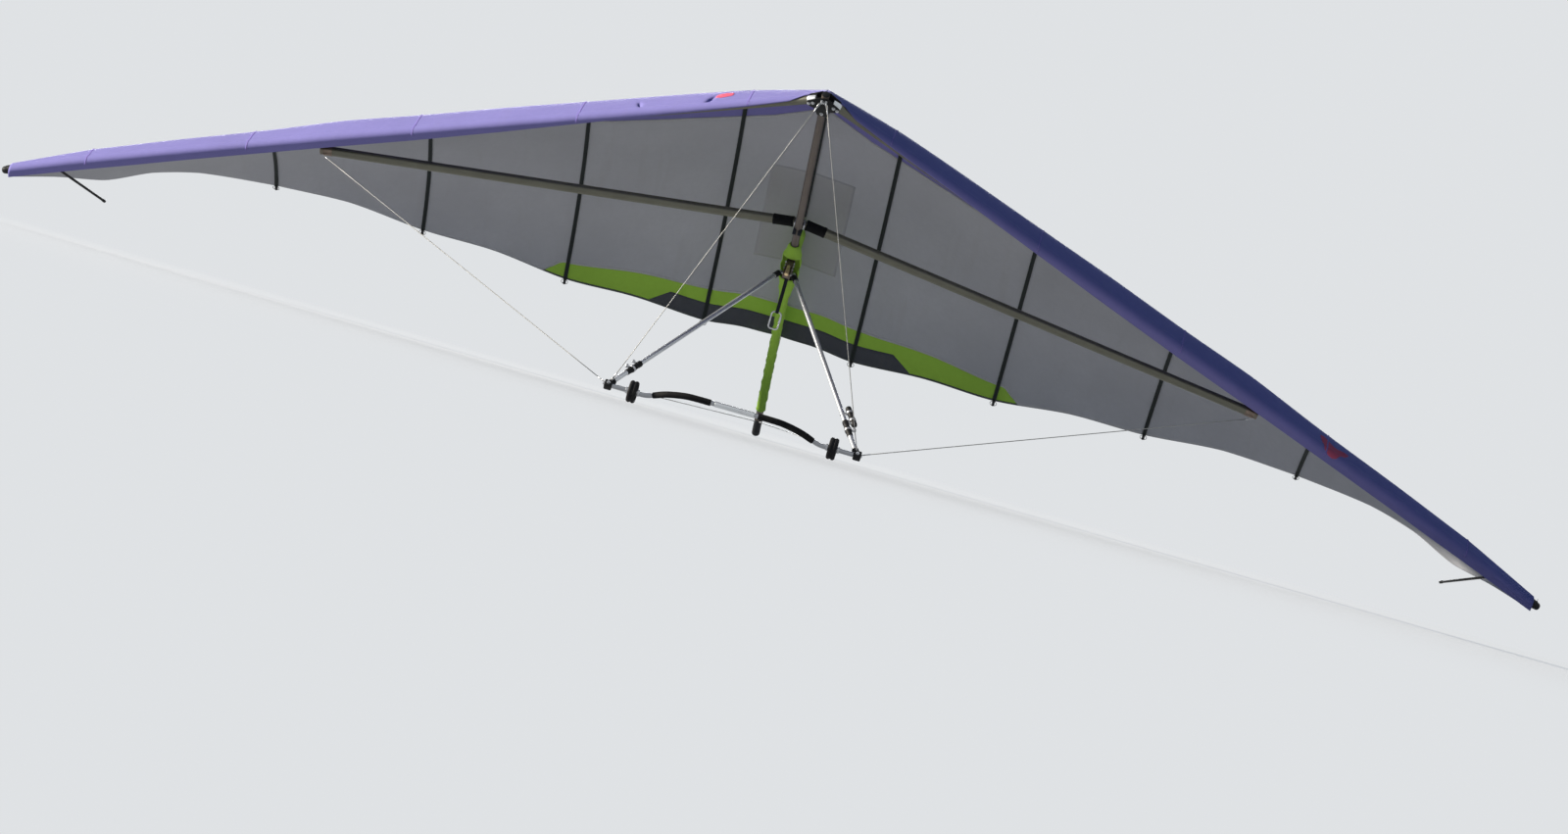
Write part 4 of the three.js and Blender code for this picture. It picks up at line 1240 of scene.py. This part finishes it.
for _, side in SIDES:
    plate(bm, CAP_CHEEK, 0.0025, Matrix.Translation(KING_HEAD + X * side * 0.0150) @ CROSSWISE)
piece("kingpost_head", bm, "fitting_black", "kingpost_cap")
bm = bmesh.new()
for y in (-0.014, 0.014):
    bolt(bm, (0, KING_Y + y, KING_TOP + 0.022), X, 0.0325, 0.004)
piece("kingpost_head_bolts", bm, "fitting_steel")

# rigging: each wire is (node, from, to, how far it stops short of each)
WIRE_R = 0.0026
wires = [
    ("top_front_wire", KING_HEAD, Vector((0, -1.330, 0.0294)), 0.026, 0.012),
    ("top_rear_wire", KING_HEAD, Vector((0, 1.650, 0)), 0.026, 0.028),
]
for word, side in SIDES:
    corner = mirrored(CORNER, side)
    wires += [
        (f"side_wire_{word}", corner, mirrored((2.942, 0.172, -0.072), side), 0.030, 0.012),
        (f"front_wire_{word}", corner, mirrored((0.014, -1.470, -0.0294), side), 0.030, 0.014),
        (f"rear_wire_{word}", corner, Vector((0, 1.640, 0)), 0.030, 0.030),
        (f"top_side_wire_{word}", KING_HEAD, mirrored(TOP_SIDE_WIRE_END, side), 0.022, 0.012),
    ]
FERRULE = both_ways(mm((1.6, 11), (3.6, 11), (4.1, 9)))
EYE_HALF, EYE_WIDE = 0.016, 0.0062
for node, a, b, short_a, short_b in wires:
    run = (b - a).normalized()
    start, end = a + run * short_a, b - run * short_b
    bm = bmesh.new()
    sweep(bm, evenly(start, end, 8), WIRE_R, 10)
    piece(f"cable_{node}", bm, "rigging_wire", node, smooth=180)
    bm = bmesh.new()
    for at, way in ((start, run), (end, -run)):
        lathe(bm, FERRULE, aim(at + way * 0.045, way), 12)
        across = way.cross(Z if abs(way.z) < 0.9 else X).normalized()
        eye = []
        for a in round_turn(16):
            back = (1 - math.cos(a)) / 2
            eye.append(at + way * 2 * EYE_HALF * back + across * EYE_WIDE * math.sin(a) * (1 - 0.45 * back))
        sweep(bm, eye, 0.0019, 8, closed=True)
    piece(f"wire_ends_{node}", bm, "fitting_steel", smooth=60)

# tangs that carry the wires at the nose and the tail
bm = bmesh.new()
for _, side in SIDES:
    tang = mm((-5.5, -20), (5.5, -20), (5.5, 16), (-5.5, 16))
    plate(bm, tang, 0.0022, Matrix.Translation((side * 0.014, -1.462, -0.0325)))
    stud = Matrix.Translation((side * 0.014, -1.470, -0.0355))
    bmesh.ops.create_uvsphere(bm, u_segments=16, v_segments=10, radius=0.0048, matrix=stud)
lathe(bm, sleeve(KEEL_R + 0.0002, KEEL_R + 0.0024, 0.011), aim((0, 1.645, 0), Y), 36)
piece("wire_tangs", bm, "fitting_steel")

# keel pocket: lime cloth sewn round the rear keel and up to the middle of the sail
POCKET_FROM, POCKET_TO, POCKET_WEB_TO = -0.140, 1.500, 0.862
POCKET_GIRTH = ((POCKET_FROM, 0.0290), (-0.030, 0.0400), (0.120, 0.0415), (0.420, 0.0285))
POCKET_FLARE = ((POCKET_FROM, 0.0), (-0.050, 0.018), (0.170, 0.018), (0.360, 0.0))
POCKET_STEPS, POCKET_AROUND, POCKET_COLUMN = 110, 28, 0.0065
POCKET_GAP = 16
OPENING_FROM, OPENING_TO, OPENING_TOP = -0.035, 0.155, -0.015


def keel_sail_z(y):
    line = section_line(0.0)[1]
    for (_, ya, za), (_, yb, zb) in zip(line, line[1:]):
        if ya <= y <= yb:
            return lerp(za, zb, (y - ya) / (yb - ya))
    return line[-1][2]


def pocket_ring(y):
    """The pocket's outline at one place along the keel; its web bulges round the kingpost's foot."""
    girth = by_stops(POCKET_GIRTH, y) + 0.0012 * math.sin(y * 47) + 0.0009 * math.sin(y * 113 + 1.3)
    flare = by_stops(POCKET_FLARE, y)
    out = []
    for k in range(POCKET_AROUND + 1):
        angle = math.radians(lerp(90 + POCKET_GAP, 450 - POCKET_GAP, k / POCKET_AROUND))
        pucker = 1 + 0.05 * math.sin(y * 60 + 3 * angle)
        out.append(Vector(((girth + flare) * math.cos(angle) * pucker, y, girth * math.sin(angle))))
    half_gap, low, high = 0.0012, 0.0272, 0.0312
    if y < POCKET_WEB_TO:
        half_gap = 0.0022 + 0.030 * math.exp(-((y - KING_Y) / 0.075) ** 2)
        low, high = 0.030, keel_sail_z(y) - 0.004
    for rise in (0.08, 0.25, 0.45, 0.7, 1.0):
        z = lerp(low, high, rise)
        out = [Vector((-half_gap, y, z)), *out, Vector((half_gap, y, z))]
    return out


bm = bmesh.new()
rows = [pocket_ring(y) for y in evenly(POCKET_FROM, POCKET_TO, POCKET_STEPS)]
columns = len(rows[0]) - 1
places = {}
for v in bmesh.ops.create_grid(bm, x_segments=columns, y_segments=POCKET_STEPS, size=0.5)["verts"]:
    i, j = round((v.co.y + 0.5) * POCKET_STEPS), round((v.co.x + 0.5) * columns)
    v.co = rows[i][j]
    places[v] = (j * POCKET_COLUMN, v.co.y)
write_flat_map(bm, "cloth", places)
middles = [(f, f.calc_center_median()) for f in bm.faces]
opening = [f for f, at in middles if at.z < OPENING_TOP and OPENING_FROM < at.y < OPENING_TO]
bmesh.ops.delete(bm, geom=opening, context="FACES")
pocket_area = sum(f.calc_area() for f in bm.faces)
pocket = piece("keel_pocket_cloth", bm, "lime_cloth", "keel_pocket", smooth=180, thick=CLOTH_THICK)

# hang bracket, strap and carabiner
HANG_AT = Vector((0, 0.095, -0.044))
bm = bmesh.new()
cheek = mm((-17, -57.3), (17, -57.3), (17, -23.5), (-17, -23.5))
bolt_head = mm((0, 0), (7.5, 0), (8, 1), (8, 4), (6.5, 5.5), (0, 5.5))
for _, side in SIDES:
    plate(bm, cheek, 0.004, Matrix.Translation((side * 0.0145, HANG_AT.y, 0)) @ CROSSWISE)
    lathe(bm, bolt_head, aim(HANG_AT + X * side * 0.0165, X * side), 24)
block(bm, (0.033, 0.034, 0.004), Matrix.Translation((0, HANG_AT.y, -0.0254)), 0.0008)
lathe(bm, mm((0, -12.5), (5.6, -12.5), (5.6, 12.5), (0, 12.5)), aim(HANG_AT, X), 24)
piece("hang_cheeks", bm, "fitting_steel", "hang_bracket")

hang = Matrix.Translation(HANG_AT) @ Matrix.Rotation(PITCH, 4, "X")
STRAP_LONG, STRAP_MID_R, STRAP_DRAW = 0.240, 0.0075, 0.0012
strap_half = [Y * STRAP_MID_R * math.cos(a) + Z * STRAP_MID_R * math.sin(a) for a in evenly(0, math.pi, 12)]
for down in evenly(0, 1, 10)[1:-1]:
    drawn = STRAP_DRAW * math.sin(math.pi * down) - STRAP_MID_R
    strap_half.append(Vector((0, drawn, -STRAP_LONG * down)))
strap = strap_half + [Vector((0, -p.y, -STRAP_LONG - p.z)) for p in strap_half]
bm = bmesh.new()
sweep(bm, [hang @ p for p in strap], 0.0105, 12, 0.13, X, closed=True)
piece("hang_loop_webbing", bm, "strap_webbing", "hang_strap", body="hang_line", smooth=50)

HALF, TALL, BEND, BAR_R = 0.029, 0.104, 0.017, 0.0053
bar = []
for end, top, from_angle in ((1, -BEND, 90), (1, BEND - TALL, 0), (-1, BEND - TALL, -90), (-1, -BEND, -180)):
    middle = Vector((end * (HALF - BEND), 0, top - STRAP_LONG))
    for a in evenly(math.radians(from_angle), math.radians(from_angle - 90), 8):
        bar.append(middle + X * BEND * math.cos(a) + Z * BEND * math.sin(a))
bm = bmesh.new()
sweep(bm, [hang @ p for p in bar], BAR_R, 18, closed=True)
gate = hang @ Vector((HALF, 0, -STRAP_LONG - TALL * 0.42))
GATE_SLEEVE = both_ways(mm((5.2, 17), (6.8, 17), (7.4, 15.5), (7.4, 6), (7, 5)))
lathe(bm, GATE_SLEEVE, aim(gate, hang.to_3x3() @ Z), 24)
piece("carabiner_body", bm, "fitting_steel", "carabiner", body="hang_line", smooth=50)

# floor and light: the pale floor runs out into the same tone as the pale surround
SURROUND = (0.74, 0.76, 0.78, 1)
FLOOR_LIT, FLOOR_PALE, FLOOR_BRIGHT = (0.53, 0.54, 0.55, 1), (0.86, 0.86, 0.86, 1), (0.89, 0.89, 0.89, 1)
bm = bmesh.new()
bmesh.ops.create_circle(bm, cap_ends=True, radius=180, segments=96)
ground = Finish("pale_floor", FLOOR_PALE[:3], 0.9, Specular_IOR_Level=0.1)
seen = ground.seen_directly()
cloudy = ground.noise(ground.place(), 2.5, 3)
pale = ground.blend(ground.between(cloudy, 0.3, 0.7), FLOOR_PALE, FLOOR_BRIGHT)
ground.paint(ground.blend(seen, FLOOR_LIT, pale))
distance = ground.node("VectorMath", {0: ground.place()}, operation="LENGTH").outputs["Value"]
fade = ground.node(
    "MapRange", {"Value": distance, "From Min": 4.0, "From Max": 17.0, "To Min": 0.55},
    interpolation_type="SMOOTHSTEP",
).outputs["Result"]
glow = ground.node("Emission", {"Color": SURROUND, "Strength": 1.0}).outputs["Emission"]
shaded = ground.node("MixShader", {
    0: ground.math("MULTIPLY", fade, seen), 1: ground.shader.outputs["BSDF"], 2: glow,
}).outputs["Shader"]
ground.feed(ground.tree.nodes["Material Output"].inputs["Surface"], shaded)
add_mesh("floor", bm, ground.material)

world = bpy.data.worlds.new("studio")
bpy.context.scene.world = world
world.use_nodes = True
sky = Nodes(world.node_tree)
soft = sky.tree.nodes["Background"]
sky.feed(soft.inputs["Color"], (0.36, 0.72, 1.22, 1))
sky.feed(soft.inputs["Strength"], 0.12)
plain = sky.node("Background", {"Color": SURROUND})
both = sky.node("MixShader", {
    0: sky.seen_directly(), 1: soft.outputs["Background"], 2: plain.outputs["Background"],
})
sky.feed(sky.tree.nodes["World Output"].inputs["Surface"], both.outputs["Shader"])
bpy.context.scene.view_settings.view_transform = "Standard"

# each light: name, the direction it comes from, spread in degrees, power, colour
for name, toward, spread, power, colour in (
    ("key_light", (-0.97, -0.05, 0.22), 8, 6.9, (1.0, 0.92, 0.80)),
    ("back_light", (-0.15, 0.98, 0.14), 30, 3.0, (0.95, 0.97, 1.0)),
):
    data = bpy.data.lights.new(name, "SUN")
    data.angle = math.radians(spread)
    data.energy = power
    data.color = colour
    add_object(name, data).matrix_world = Vector(toward).to_track_quat("Z", "Y").to_matrix().to_4x4()
